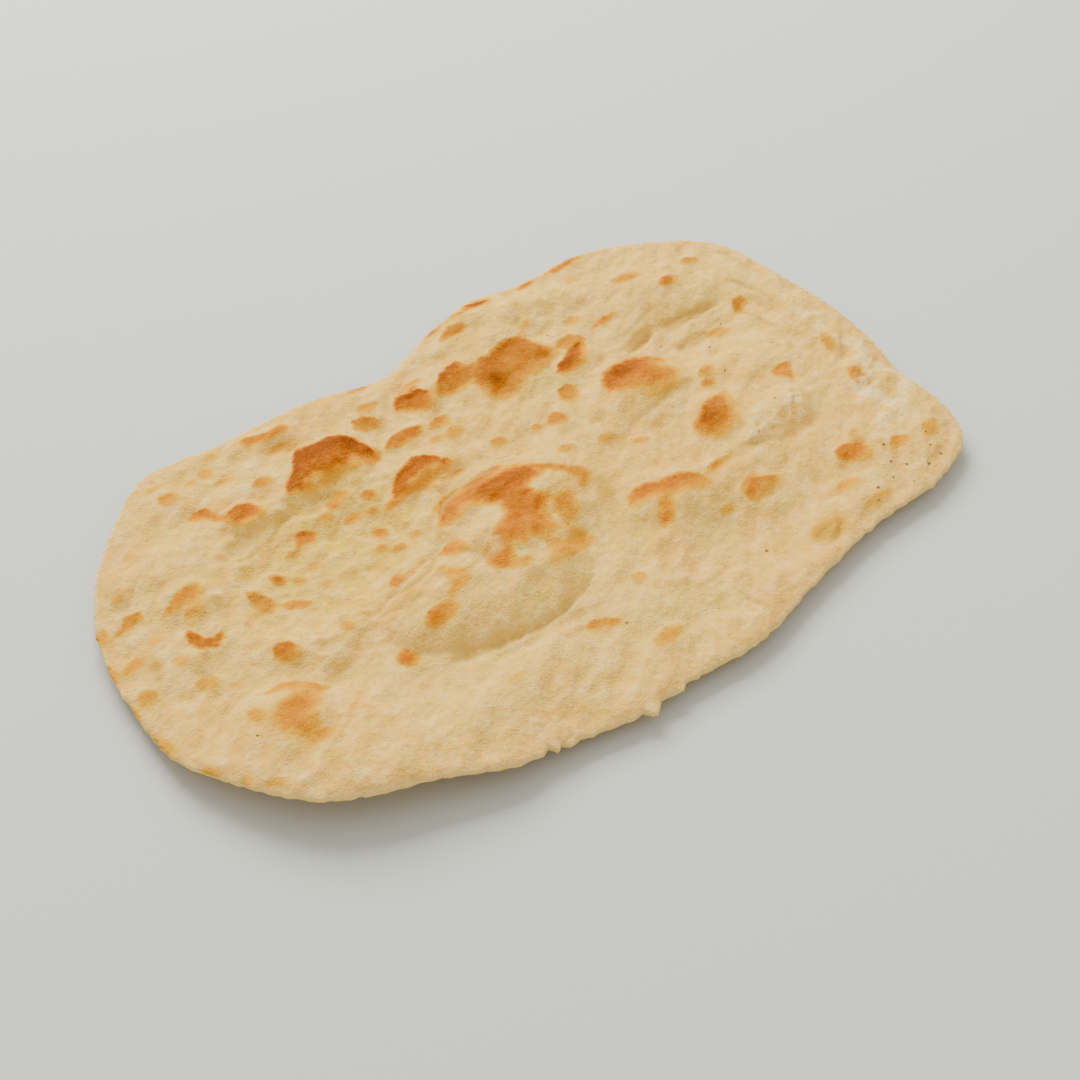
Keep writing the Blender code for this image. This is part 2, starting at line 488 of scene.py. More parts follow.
@dataclass(frozen=True)
class Tint:
    """A soft oval place where the browning is deeper or paler, and more golden or less.

    Sizes are in millimetres and the turn in degrees. Each change is the most at the middle.
    """

    x: float
    y: float
    length: float
    width: float
    turn: float
    deeper: float
    golder: float

    def share(self, x: np.ndarray, y: np.ndarray) -> np.ndarray:
        """Give how fully the tint holds at each point, from 0 to 1."""
        place = Mound(self.x, self.y, 0.5 * self.length, 0.5 * self.width, self.turn)
        return np.exp(-place.reach(x, y))


@dataclass(frozen=True)
class Crease:
    """A narrow groove, or a ridge, that runs along a line and dies away at both ends.

    Sizes are in millimetres. Height is negative in a groove. After the height comes how far the
    crease is darkened to a dull greenish brown, from 0 to 1: partly the crust's own staining and
    partly painted shade, and painted shade alone where the crease has no height. Each end tapers
    over that many widths.
    """

    line: tuple[Place, ...]
    width: float
    height: float
    stain_and_shade: float
    steepness: float = 1.8
    taper_widths: float = 2.5

    def share(self, x: np.ndarray, y: np.ndarray) -> np.ndarray:
        """Give the crease's profile at each point.

        Args:
            x: Places along the slanted plan, in millimetres.
            y: Places across the slanted plan, in millimetres.

        Returns:
            1 on the crease's line, dying away to 0 beside it.
        """
        gap = line_distance(x, y, np.array(self.line, dtype=float))
        ends = [np.hypot(x - end_x, y - end_y) for end_x, end_y in (self.line[0], self.line[-1])]
        taper = np.clip(np.minimum(*ends) / (self.taper_widths * self.width), 0.0, 1.0)
        return np.exp(-self.steepness * (gap / self.width) ** 2) * taper


@dataclass(frozen=True)
class Tear:
    """A small torn tab that stands out over the rim, or a notch where the reach is negative."""

    x: float
    y: float
    reach: float
    width: float

    def pull(self, x: np.ndarray, y: np.ndarray) -> np.ndarray:
        """Give how far each point is pulled out, in millimetres."""
        return self.reach * np.exp(-((x - self.x) ** 2 + (y - self.y) ** 2) / self.width**2)


@dataclass(frozen=True)
class Ripples:
    """Seeded unevenness: many faint waves in all directions, of about one wavelength."""

    seed: int
    wavelength: float
    count: int = 28
    stretch: float = 1.0
    turn: float = 0.0
    spread: tuple[float, float] = (0.7, 1.5)

    def over(self, x: np.ndarray, y: np.ndarray) -> np.ndarray:
        """Give a smooth random height over each point.

        Args:
            x: Places along the sheet, in millimetres.
            y: Places across the sheet, in millimetres.

        Returns:
            Heights of about unit size.
        """
        draw = np.random.default_rng(self.seed)
        total = np.zeros(x.shape)
        lengthwise, crosswise = turned(x, y, (0.0, 0.0), self.turn)
        lengthwise = lengthwise / self.stretch
        for _ in range(self.count):
            heading = draw.uniform(0.0, 2.0 * math.pi)
            number = 2.0 * math.pi / (self.wavelength * draw.uniform(*self.spread))
            phase = draw.uniform(0.0, 2.0 * math.pi)
            wave = lengthwise * math.cos(heading) + crosswise * math.sin(heading)
            total += np.sin(number * wave + phase)
        return total / math.sqrt(self.count / 2.0)


@dataclass(frozen=True)
class Pimples:
    """Seeded scatter of small rounded lumps inside an oval area."""

    seed: int
    area: Mound
    count: int
    width_range: tuple[float, float]
    height_range: tuple[float, float]
    stretch_range: tuple[float, float] = (1.0, 1.8)
    turn_range: tuple[float, float] = (-30.0, 30.0)

    def mounds(self) -> list[Mound]:
        """Place the lumps.

        Returns:
            The lumps, evenly scattered over the area.
        """
        draw = np.random.default_rng(self.seed)
        angle = math.radians(self.area.turn)
        lumps = []
        for _ in range(self.count):
            out = math.sqrt(draw.uniform())
            heading = draw.uniform(0.0, 2.0 * math.pi)
            lengthwise = self.area.half_length * out * math.cos(heading)
            crosswise = self.area.half_width * out * math.sin(heading)
            x = self.area.x + lengthwise * math.cos(angle) - crosswise * math.sin(angle)
            y = self.area.y + lengthwise * math.sin(angle) + crosswise * math.cos(angle)
            width = draw.uniform(*self.width_range)
            length = width * draw.uniform(*self.stretch_range)
            height = draw.uniform(*self.height_range)
            turn = draw.uniform(*self.turn_range)
            lumps.append(Mound(x, y, 0.5 * length, 0.5 * width, turn, height))
        return lumps


# ---------------------------------------------------------------------------
# Where the crust is browned, creased and torn
#
# Places are in millimetres on the slanted plan, along the sheet and across it.
# ---------------------------------------------------------------------------


Browned = tuple[Scorch | Blister, ...]

# The big bubble: the film over its top, the thin lines behind it and the spots at its left.
DOME_BROWNING: Browned = (
    Scorch(
        far=((-48, 6.5), (-45, 10), (-41, 13.5), (-35, 14.5), (-28, 14), (-22, 13.5)),
        near=((-44, 5.5), (-39, 5.5), (-34, 8), (-29, 5), (-24, 2)),
        far_depth=0.56, near_depth=0.36, fade=2.2, gold=0.15,
    ),
    Scorch(
        far=((-27, 12), (-21, 12), (-14, 11.5), (-7, 11), (-3, 9.5), (1, 7)),
        near=((-26, 2), (-21, 0), (-12, 0.5), (-6, 1.5), (-1, 1)),
        far_depth=0.86, near_depth=0.64, fade=1.4, gold=0.0,
    ),
    Scorch(
        far=((-1, 8.3), (2, 6), (5, 3), (8, -0.5), (9.8, -4.5), (13, -7.5), (13, -11.5)),
        near=((0, 1.5), (3, 0.6), (5, -1.8), (6.8, -5), (6.8, -10), (5, -15), (9, -15)),
        far_depth=0.48, near_depth=0.38, fade=1.8, gold=0.5, crisp=1.0,
    ),
    Scorch(
        far=((-22, 3), (-18, 5), (-12, 4)),
        near=((-25, -3), (-26.5, -7), (-25, -12), (-16, -14), (-8.5, -11), (-10, -4)),
        far_depth=0.66, near_depth=0.62, fade=1.2, gold=0.1,
    ),
    Scorch(
        far=((-50, -20), (-47, -15), (-42, -13), (-38, -11), (-33, -8.5), (-27, -7), (-22, -6)),
        near=(
            (-50, -24), (-46, -26.5), (-42, -24), (-38, -20), (-33, -21.5), (-29, -20),
            (-25, -23), (-20, -22), (-16, -17),
        ),
        far_depth=0.54, near_depth=0.48, fade=1.6, gold=0.2, crisp=1.2,
    ),
    Scorch(
        far=((-28, -20), (-22, -19), (-19, -19.5), (-18, -25), (-14, -29)),
        near=(
            (-27, -28), (-30, -32), (-34, -36), (-35, -39), (-29, -38), (-22, -40), (-15, -39),
            (-14, -34),
        ),
        far_depth=0.34, near_depth=0.26, fade=2.4, gold=0.5, crisp=1.8,
    ),
    Scorch(
        far=((-13, -17), (-9, -13.5), (-4, -12.5), (0, -13)),
        near=((-13, -21), (-15, -26), (-11, -26), (-7, -24), (-4, -20), (-1, -16)),
        far_depth=0.44, near_depth=0.34, fade=1.8, gold=0.4, crisp=1.2,
    ),
    Blister(-5, -9, 14, 5, 0, 0.10, 0.0, 3.0, 0.7),
    Blister(-20, -28, 7, 14, 8, 0.30, 0.0, 2.8, 0.7),
    Blister(-42, -29, 9, 6, -20, 0.22, 0.0, 2.0, 0.6),
    Scorch(
        far=((-26, 16), (-20, 17.4), (-14, 17.4), (-7, 16)),
        near=((-22, 14), (-15, 14.2), (-9, 14)),
        far_depth=0.66, near_depth=0.58, fade=0.8, gold=0.2,
    ),
    Scorch(
        far=((-41, 14.5), (-36, 17.8), (-30, 17.4)),
        near=((-37, 14.6), (-32, 15)),
        far_depth=0.56, near_depth=0.48, fade=0.8, gold=0.2,
    ),
    Blister(-22, 13.5, 36, 6, -4, 0.13, 0.0, 2.0, 0.0),
    Scorch(
        far=((-59, -5), (-54, -2.5), (-48, -2.5)),
        near=((-55, -8.5), (-49, -9.5)),
        far_depth=0.38, near_depth=0.28, fade=1.8, gold=0.1,
    ),
    Blister(-62, -16, 8, 5, 10, 0.34, 0.3, 1.6, 0.2),
    Blister(-65, -21, 11, 4.5, 12, 0.32, 0.2, 1.8, 0.2),
    Blister(-64, -11, 5, 4, 0, 0.18, 0.2, 1.8, 0.2),
)

# The largest burnt bubbles, behind the big one.
LARGE_BROWNING: Browned = (
    Scorch(
        far=(
            (-73, 61), (-71, 65), (-67, 68), (-62, 71), (-58, 76), (-54, 79), (-50, 78.5),
            (-45, 76.5), (-40, 76.5), (-36, 74), (-34, 70), (-33, 62), (-34, 56),
        ),
        near=(
            (-70, 60), (-66, 58.5), (-63, 62), (-59, 62.5), (-55, 60), (-50, 60), (-46, 58),
            (-42, 60), (-40, 55), (-36, 52.5),
        ),
        far_depth=1.00, near_depth=0.60, fade=2.0, gold=0.1,
    ),
    # A faint browned film below the burnt bubble above, which also paints the shade on its near
    # flank.
    Blister(-52, 55, 28, 8, 0, 0.20, 0.0, 3.0, 0.3),
    Scorch(
        far=(
            (-48, 29.5), (-46, 34), (-42, 37.5), (-37, 40), (-32, 42), (-27, 43.5), (-23, 41.5),
            (-20, 37.5), (-17.5, 32),
        ),
        near=(
            (-45, 29), (-41, 29.5), (-37, 32.5), (-33, 33.5), (-28, 34), (-24, 33.5), (-21, 29.5),
        ),
        far_depth=0.86, near_depth=0.46, fade=2.0, gold=0.15,
    ),
    Scorch(
        far=((-40, 32), (-34, 33.5), (-27, 33.5), (-21, 32)),
        near=((-39, 27), (-36, 25), (-31, 26), (-27, 29), (-21, 28)),
        far_depth=0.34, near_depth=0.28, fade=1.8, gold=0.3, crisp=2.0,
    ),
    Scorch(
        far=((-10.5, 69), (-8.5, 72.5), (-5, 75.5), (-2, 75.5), (1, 73.8), (5, 74), (8, 69)),
        near=((-8, 67), (-5, 62), (-1, 59.5), (3, 62), (6, 65)),
        far_depth=1.05, near_depth=0.20, fade=2.0, gold=0.2,
    ),
    Scorch(
        far=((14, 70), (17, 73.5), (21, 75), (25, 76), (29, 76)),
        near=((16, 69), (22, 69.5), (27, 70.5), (30, 72.5)),
        far_depth=1.00, near_depth=0.62, fade=1.4, gold=0.05,
    ),
    Scorch(
        far=((9, 67), (13, 70.5), (20, 71), (28, 71.5), (33, 69)),
        near=((9, 63.5), (14, 61), (21, 61), (27, 61.5)),
        far_depth=0.66, near_depth=0.40, fade=2.2, gold=0.8, crisp=1.2,
    ),
    Scorch(
        far=(
            (23, 55), (25, 61), (28, 65.5), (33, 68), (37, 70.5), (41, 69), (45, 70.5), (50, 71.5),
            (55, 71.5), (59, 69), (61, 62), (62.5, 54),
        ),
        near=(
            (22, 47), (25, 43.5), (31, 43.5), (36, 46), (42, 48), (47, 47), (52, 48), (58, 49.5),
            (62, 51),
        ),
        far_depth=0.66, near_depth=0.46, fade=2.8, gold=0.7, crisp=1.1,
    ),
    Scorch(
        far=(
            (56, 16), (58, 20.5), (60, 23.5), (65, 26), (71, 27), (76, 26), (81, 24), (85, 20.5),
            (88, 14),
        ),
        near=((58, 14), (62, 11), (66, 8), (70, 4), (76, 0), (82, 1), (88, 5)),
        far_depth=1.02, near_depth=0.16, fade=3.0, gold=0.15, crisp=1.3,
    ),
    Blister(74, 3, 22, 10, 0, 0.24, 0.0, 3.0, 0.9),
    Scorch(
        far=((60, -26), (62, -22.5), (66, -20.5), (70, -18.5), (74, -16), (80, -16), (87, -17)),
        near=((59, -31), (64, -34), (70, -33), (76, -31.5), (81, -28), (84, -22)),
        far_depth=0.84, near_depth=0.26, fade=2.8, gold=0.3, crisp=1.3,
    ),
    Scorch(
        far=((-98, 67), (-94, 69.5), (-90, 70), (-86, 67), (-85, 63)),
        near=((-98, 61.5), (-94, 59.5), (-89, 59.5), (-86, 60)),
        far_depth=0.86, near_depth=0.38, fade=2.0, gold=0.1,
    ),
    Scorch(
        far=((-108, 75.5), (-104, 78), (-99, 77), (-98.5, 72), (-99.5, 67)),
        near=((-106, 74), (-103, 73), (-101.5, 69)),
        far_depth=0.48, near_depth=0.42, fade=1.2, gold=0.2,
    ),
)

# Smaller burnt bubbles from the left far rim to the middle.
MIDDLE_BROWNING: Browned = (
    Scorch(
        far=((-66, 99), (-62, 98.6), (-57, 96.5), (-53, 95.5), (-48, 95.8), (-46, 94)),
        near=((-65, 94), (-58, 92), (-50, 91.5), (-46.5, 92)),
        far_depth=0.56, near_depth=0.34, fade=1.8, gold=0.3,
    ),
    Scorch(
        far=((-29, 73), (-26.5, 77), (-22, 76), (-19, 72), (-19, 69)),
        near=((-28, 69), (-23, 66.5)),
        far_depth=0.62, near_depth=0.26, fade=1.6, gold=0.7,
    ),
    Blister(-17, 79, 9, 5.5, -10, 0.42, 0.4, 1.6, 0.9),
    Blister(5, 77, 10, 4, 6, 0.26, 0.4, 1.6, 0.5),
    Scorch(
        far=((-30, 54.5), (-26, 57.5), (-20, 58.8), (-15, 58), (-11, 55)),
        near=((-26, 52), (-20, 51.5), (-14, 51.5)),
        far_depth=0.66, near_depth=0.38, fade=1.6, gold=0.35,
    ),
    Scorch(
        far=((-10, 51), (-6, 54), (-2, 55), (1, 53)),
        near=((-6, 49), (-1, 49)),
        far_depth=0.54, near_depth=0.34, fade=1.4, gold=0.4,
    ),
    Blister(-4, 42, 9, 8, 20, 0.27, 0.3, 2.2, 0.8),
    Blister(-12, 44, 7, 5, 0, 0.24, 0.3, 2.0, 0.6),
    Scorch(
        far=((52, 40), (55, 43.5), (60, 44.8), (65, 47), (70, 48.5), (76, 49.5)),
        near=((53, 38.5), (58, 37), (64, 38), (69, 41), (73, 46)),
        far_depth=1.04, near_depth=0.48, fade=1.8, gold=0.2,
    ),
    Scorch(
        far=((64, 52.5), (68, 55.5), (75, 55.5)),
        near=((66, 50), (71, 49), (76, 50.5)),
        far_depth=0.46, near_depth=0.34, fade=1.4, gold=0.9,
    ),
    Scorch(
        far=((39, 27), (43, 32), (48, 33), (50, 29)),
        near=((41, 22.5), (46, 24)),
        far_depth=0.50, near_depth=0.34, fade=2.0, gold=0.7,
    ),
    Blister(2.5, 25.5, 7, 6.5, 0, 0.32, 0.4, 1.8, 0.9),
    Blister(30, 64, 15, 10, 0, 0.40, 0.0, 2.6, 0.7),
    Scorch(
        far=((23, 20), (27, 23), (31, 23.5), (33, 20)),
        near=((26, 17.5), (30, 16), (33, 17.5)),
        far_depth=0.44, near_depth=0.36, fade=1.2, gold=0.8,
    ),
    Blister(19, 21, 5, 4, 0, 0.24, 0.2, 1.2, 0.8),
    Blister(17, 4, 7, 6, -20, 0.26, 0.4, 1.4, 0.9),
    Blister(33, -3, 7, 6, 0, 0.25, 0.5, 1.8, 0.8),
    Blister(40, -13, 7, 4, -30, 0.24, 0.2, 1.2, 0.8),
)

# Right of the big bubble and round the right end.
RIGHT_BROWNING: Browned = (
    Scorch(
        far=(
            (8, -36), (11, -32.5), (16, -31.2), (21, -31.5), (26, -34), (31, -35.5), (36, -37.5),
            (40, -42), (39, -48),
        ),
        near=((11, -37.5), (15, -38.5), (18, -38.5), (21, -41), (24, -43.5), (29, -45), (35, -49)),
        far_depth=0.72, near_depth=0.26, fade=2.6, gold=0.2, crisp=1.0,
    ),
    Scorch(
        far=((9, -49), (13, -45.5), (17, -43), (22, -41)),
        near=((7, -52.5), (11, -52.5), (16, -50), (22, -45)),
        far_depth=0.48, near_depth=0.36, fade=1.6, gold=0.2, crisp=1.2,
    ),
    Blister(49, -44.5, 13, 4.5, 6, 0.38, 0.4, 1.6, 0.4),
    Scorch(
        far=((41, -66), (43, -62.5), (47, -59.8), (51, -58), (56, -61), (59, -65)),
        near=((42, -67.5), (47, -68.5), (53, -68), (58, -68)),
        far_depth=0.50, near_depth=0.24, fade=2.4, gold=0.75,
    ),
    Blister(49, -59, 10, 3.5, 16, 0.42, 0.0, 1.0, 0.3),
    Scorch(
        far=((83, -76), (86, -72), (91, -71), (95, -73.5), (98, -76)),
        near=((84, -79.5), (89, -82), (94, -81.5), (97, -79)),
        far_depth=0.60, near_depth=0.30, fade=2.2, gold=0.05,
    ),
    Blister(93, -84, 9, 5, 0, 0.14, 0.0, 2.5, 0.6),
    Blister(100, -71, 9, 5, 20, 0.20, 0.3, 1.5, 1.0),
    Scorch(
        far=((100, -87), (105, -84), (109, -82.5), (113, -86)),
        near=((106, -88), (112, -88.5)),
        far_depth=0.28, near_depth=0.22, fade=1.6, gold=0.2,
    ),
    Blister(72, -87.5, 13, 6, -6, 0.23, 0.4, 1.8, 0.3),
    Scorch(
        far=((110, -24), (112, -21), (117, -21), (121, -23)),
        near=((110.5, -27), (114, -31), (118, -26)),
        far_depth=0.46, near_depth=0.34, fade=1.4, gold=0.3,
    ),
    Blister(93.5, -3, 9, 6, 12, 0.42, 0.5, 1.8, 0.7),
    Blister(88, -8.5, 7, 5.5, 0, 0.44, 0.4, 1.6, 0.9),
    Scorch(
        far=((130, -47), (133, -43.5), (137.5, -44)),
        near=((128, -53), (131, -56.5), (135, -53), (137, -48)),
        far_depth=0.46, near_depth=0.36, fade=1.2, gold=0.8,
    ),
    Scorch(
        far=((134, 15), (138, 19.5), (142, 22.5), (146, 22)),
        near=((137.5, 14), (141, 16), (145, 17)),
        far_depth=0.48, near_depth=0.44, fade=1.6, gold=1.0,
    ),
    Blister(144, -27, 14, 6, 52, 0.30, 0.4, 1.8, 1.0),
    Blister(134.5, 51.5, 9, 6.5, 0, 0.56, 0.5, 1.4, 0.4),
    Blister(152.5, 55.5, 7.5, 4.5, -10, 0.46, 0.4, 1.4, 0.9),
    Blister(123.5, 66.5, 12, 5.5, -14, 0.48, 0.5, 1.6, 0.8),
    Blister(92.5, 51.6, 11, 2.8, 6, 0.60, 0.5, 1.1, 0.5),
    Blister(83, 60, 10, 8, 0, 0.19, 0.4, 3.0, 1.0),
    Blister(118, 10.5, 11, 6.5, -16, 0.28, 0.3, 2.0, 0.8),
)

# Thin dark burns along the far rim.
FAR_RIM_BROWNING: Browned = (
    Scorch(
        far=((35, 90.5), (40, 94), (45, 96), (50.5, 94)),
        near=((40, 90), (45, 89), (50.5, 90.5)),
        far_depth=0.44, near_depth=0.44, fade=1.2, gold=0.5,
    ),
    Blister(57, 98.8, 15, 2.4, 0, 0.44, 0.0, 0.8, 0.7),
    Blister(65.5, 98.6, 8.5, 3.2, -16, 1.30, 0.0, 0.9, 0.5),
    Blister(37, 97.2, 8, 1.9, 4, 0.78, 0.0, 0.6, 0.6),
    Blister(89.5, 93.6, 7.5, 2.6, 0, 0.60, 0.0, 0.7, 0.8),
    Blister(113, 92.6, 16, 3.2, 0, 0.74, 0.2, 0.8, 0.6),
    Blister(-11, 90.4, 8, 2.6, -14, 0.44, 0.0, 0.6, 0.3),
)

# The left end, from the near bubbles to the far ones.
LEFT_BROWNING: Browned = (
    Blister(-80, -27, 14, 8.5, 14, 0.46, 0.4, 2.2, 0.2),
    Blister(-102.5, -34, 6, 9, 0, 0.66, 0.7, 1.6, 0.4),
    Scorch(
        far=((-153, -25), (-150, -21), (-146, -19), (-140, -19.5), (-134, -21)),
        near=((-152, -32), (-149, -37), (-145, -36), (-141, -30), (-136, -26.5)),
        far_depth=0.48, near_depth=0.34, fade=3.0, gold=0.5, crisp=2.2,
    ),
    Blister(-146, -40, 13, 6, -10, 0.24, 0.0, 2.5, 0.5),
    Scorch(
        far=((-146, -12), (-140, -11.5), (-136, -13.5), (-132, -18.5), (-130, -25)),
        near=((-141, -14.5), (-138, -17), (-135, -21), (-134, -25)),
        far_depth=0.34, near_depth=0.28, fade=1.6, gold=0.4,
    ),
    Blister(-154, -18, 6, 8, 0, 0.26, 0.3, 2.0, 0.4),
    Scorch(
        far=((-133, -2), (-131, 2), (-127.5, 3.4), (-124.5, 1), (-124, -3)),
        near=((-132, -6), (-127, -6.5)),
        far_depth=0.72, near_depth=0.24, fade=1.8, gold=0.5,
    ),
    Scorch(
        far=((-148.5, 24), (-147, 28), (-144, 30), (-143, 24), (-141, 21.5), (-137, 21)),
        near=((-147, 20), (-143, 17), (-138, 18.5)),
        far_depth=0.68, near_depth=0.64, fade=0.9, gold=0.4,
    ),
    Scorch(
        far=((-146, 42), (-142, 44.5), (-137, 47.5), (-131, 48.5), (-127, 47)),
        near=((-143, 41), (-138, 41.5), (-132, 40), (-128, 43)),
        far_depth=0.42, near_depth=0.28, fade=2.0, gold=0.2,
    ),
    Blister(-136, 36, 13, 8, 36, 0.21, 0.4, 2.4, 0.6),
    Scorch(
        far=((-165, 45.5), (-158, 48.5), (-156, 51), (-150, 49.5)),
        near=((-160, 45), (-152, 45.5)),
        far_depth=0.42, near_depth=0.34, fade=1.2, gold=0.6,
    ),
    Blister(-155, 34, 8, 5, 0, 0.17, 0.3, 1.8, 0.1),
    Blister(-167, 29.5, 9, 5, 10, 0.35, 0.3, 1.6, 0.1),
    Blister(-164, 24, 6, 8, -30, 0.13, 0.3, 2.0, 0.6),
    Blister(-155, 19, 7, 8, 0, 0.14, 0.4, 2.4, 0.3),
    Blister(-174, 13, 7, 10, -30, 0.24, 0.3, 2.4, 0.9),
    Blister(-156, 5, 8, 8, -20, 0.26, 0.4, 2.4, 0.9),
    Blister(-150, -3, 8, 6, -20, 0.12, 0.4, 2.4, 0.9),
)

# The thin, pale hollow left of the big bubble.
THIN_BROWNING: Browned = (
    Scorch(
        far=((-121, 25), (-119, 30.5), (-116, 29), (-115, 22)),
        near=((-122, 20), (-119, 16.5), (-115.5, 18)),
        far_depth=0.44, near_depth=0.38, fade=1.4, gold=0.9,
    ),
    Blister(-107, 27, 4.6, 6.6, -8, 0.68, 0.4, 1.2, 0.8),
    Blister(-102, 21, 5, 7, 0, 0.22, 0.3, 1.6, 1.0),
    Blister(-111, 13, 9, 4.5, -36, 0.46, 0.4, 1.2, 0.8),
    Blister(-106, -8, 5, 6, 0, 0.30, 0.3, 1.6, 0.9),
    Scorch(
        far=((-90, 37), (-88, 40.5), (-85, 41.8), (-82, 40), (-80.5, 37)),
        near=((-88, 35.5), (-84, 35)),
        far_depth=0.58, near_depth=0.48, fade=1.2, gold=0.15,
    ),
    Blister(-75, 73, 7, 6, 0, 0.44, 0.4, 1.8, 0.8),
    Blister(-93, 74.5, 7, 4, 20, 0.13, 0.3, 1.6, 0.6),
    Blister(-105, 90.5, 8, 7, 0, 0.30, 0.4, 2.0, 0.7),
    Blister(-106, 99, 9, 4, 0, 0.16, 0.2, 1.4, 0.4),
    Blister(-84, 83.5, 9, 4, -10, 0.21, 0.2, 1.6, 0.5),
    Blister(-86, 92, 6, 7, 20, 0.23, 0.2, 1.8, 0.7),
    Blister(-79, 98, 6, 5, 0, 0.21, 0.2, 1.6, 0.7),
    Blister(-94, 91.5, 7, 5, 0, 0.14, 0.2, 1.8, 0.8),
    Blister(-57, 84, 12, 6, 0, 0.27, 0.3, 2.0, 0.9),
    Blister(-61, 45.5, 8, 6, 10, 0.33, 0.4, 1.6, 0.3),
    Blister(-66, 43.5, 5, 6, 0, 0.36, 0.4, 1.4, 0.3),
    Blister(-53, 38.5, 6, 6.5, -20, 0.52, 0.5, 1.4, 0.6),
    Blister(-66, 32.5, 7, 5, 0, 0.36, 0.5, 1.4, 0.3),
    Blister(-59, 31, 6, 4.5, 0, 0.42, 0.4, 1.4, 0.9),
    Blister(-73, 40, 7, 6, 0, 0.27, 0.4, 1.6, 0.9),
    Blister(-94, 33, 7, 6, 0, 0.28, 0.4, 1.6, 1.0),
    Blister(-93, 23, 6, 5, 0, 0.22, 0.4, 1.6, 0.9),
    Blister(-65, 20, 5, 6, -14, 0.58, 0.5, 1.2, 0.4),
    Blister(-71, 13, 6, 5, 0, 0.25, 0.4, 1.6, 0.7),
    Blister(-66, 8.5, 6, 4.5, 0, 0.29, 0.4, 1.4, 1.0),
    Blister(-57, 9.5, 6, 5, 0, 0.21, 0.4, 1.6, 1.0),
    Blister(-77, 6.5, 7, 5.5, 0, 0.15, 0.5, 1.8, 0.8),
    Blister(-96, 13, 6, 5, 0, 0.13, 0.4, 1.8, 0.5),
    Blister(-51, 28.3, 7, 3.6, 10, 0.42, 0.3, 1.2, 0.4),
    Blister(-23, 24, 12, 4, -6, 0.23, 0.0, 1.6, 0.6),
    Blister(-78.5, -3.3, 7, 4, 22, 0.54, 0.4, 1.2, 0.7),
    Blister(-80, -12, 9, 5, 14, 0.15, 0.3, 1.8, 0.4),
)

# The near side.
NEAR_BROWNING: Browned = (
    Scorch(
        far=((-52, -68), (-48, -66.5), (-43, -69), (-40, -73)),
        near=((-50, -71), (-46, -72.5), (-42, -75)),
        far_depth=0.36, near_depth=0.28, fade=1.6, gold=0.7,
    ),
    Blister(-85, -67, 8, 4, -10, 0.16, 0.3, 1.8, 0.4),
    Blister(-20, -65, 7, 7, 0, 0.18, 0.3, 2.0, 1.0),
    Blister(-35, -91, 12, 7, 0, 0.27, 0.2, 2.4, 0.5),
    Scorch(
        far=((37, -96), (42, -92), (50, -90.5), (57, -93)),
        near=((40, -99), (47, -102), (54, -103), (59, -98)),
        far_depth=0.13, near_depth=0.17, fade=3.0, gold=1.0, crisp=2.6,
    ),
    Blister(43, -97.5, 7, 6, 20, 0.36, 0.0, 2.4, 1.0),
    Blister(73, -101, 18, 7, 4, 0.16, 0.0, 3.0, 0.8),
)

# The soft tan blotches round the left rim.
LEFT_RIM_BROWNING: Browned = (
    Blister(-179.5, -27, 6, 10, 20, 0.16, 0.0, 2.4, 0.5),
    Blister(-174, -38, 5, 7, 20, 0.14, 0.0, 2.2, 0.6),
    Blister(-169.5, -44.5, 7, 5, -30, 0.15, 0.0, 2.2, 0.5),
    Blister(-183, -8, 5, 16, 0, 0.22, 0.0, 2.2, 0.6),
    Blister(-182, 12, 5, 14, -8, 0.26, 0.0, 2.0, 0.5),
    Blister(-176, 30, 5, 12, -24, 0.24, 0.0, 2.0, 0.5),
    Blister(-168, 46, 5, 12, -30, 0.22, 0.0, 2.0, 0.5),
)

# The last faint patches.
FAINT_BROWNING: Browned = (
    Blister(31, -64, 8, 6, 0, 0.18, 0.3, 2.0, 1.0),
    Blister(124, -90, 12, 7, 20, 0.26, 0.0, 2.4, 0.6),
    Blister(106, 82, 10, 7, 0, 0.12, 0.3, 2.0, 0.8),
    Blister(67, 72.5, 11, 5, 30, 0.19, 0.2, 2.6, 1.0),
    Blister(-134, 75, 9, 5, 30, 0.11, 0.3, 1.6, 0.4),
    Blister(-150, 61, 9, 5, 40, 0.16, 0.3, 1.6, 0.4),
)

BROWNING: Browned = (
    DOME_BROWNING
    + LARGE_BROWNING
    + MIDDLE_BROWNING
    + RIGHT_BROWNING
    + FAR_RIM_BROWNING
    + LEFT_BROWNING
    + THIN_BROWNING
    + NEAR_BROWNING
    + LEFT_RIM_BROWNING
    + FAINT_BROWNING
)

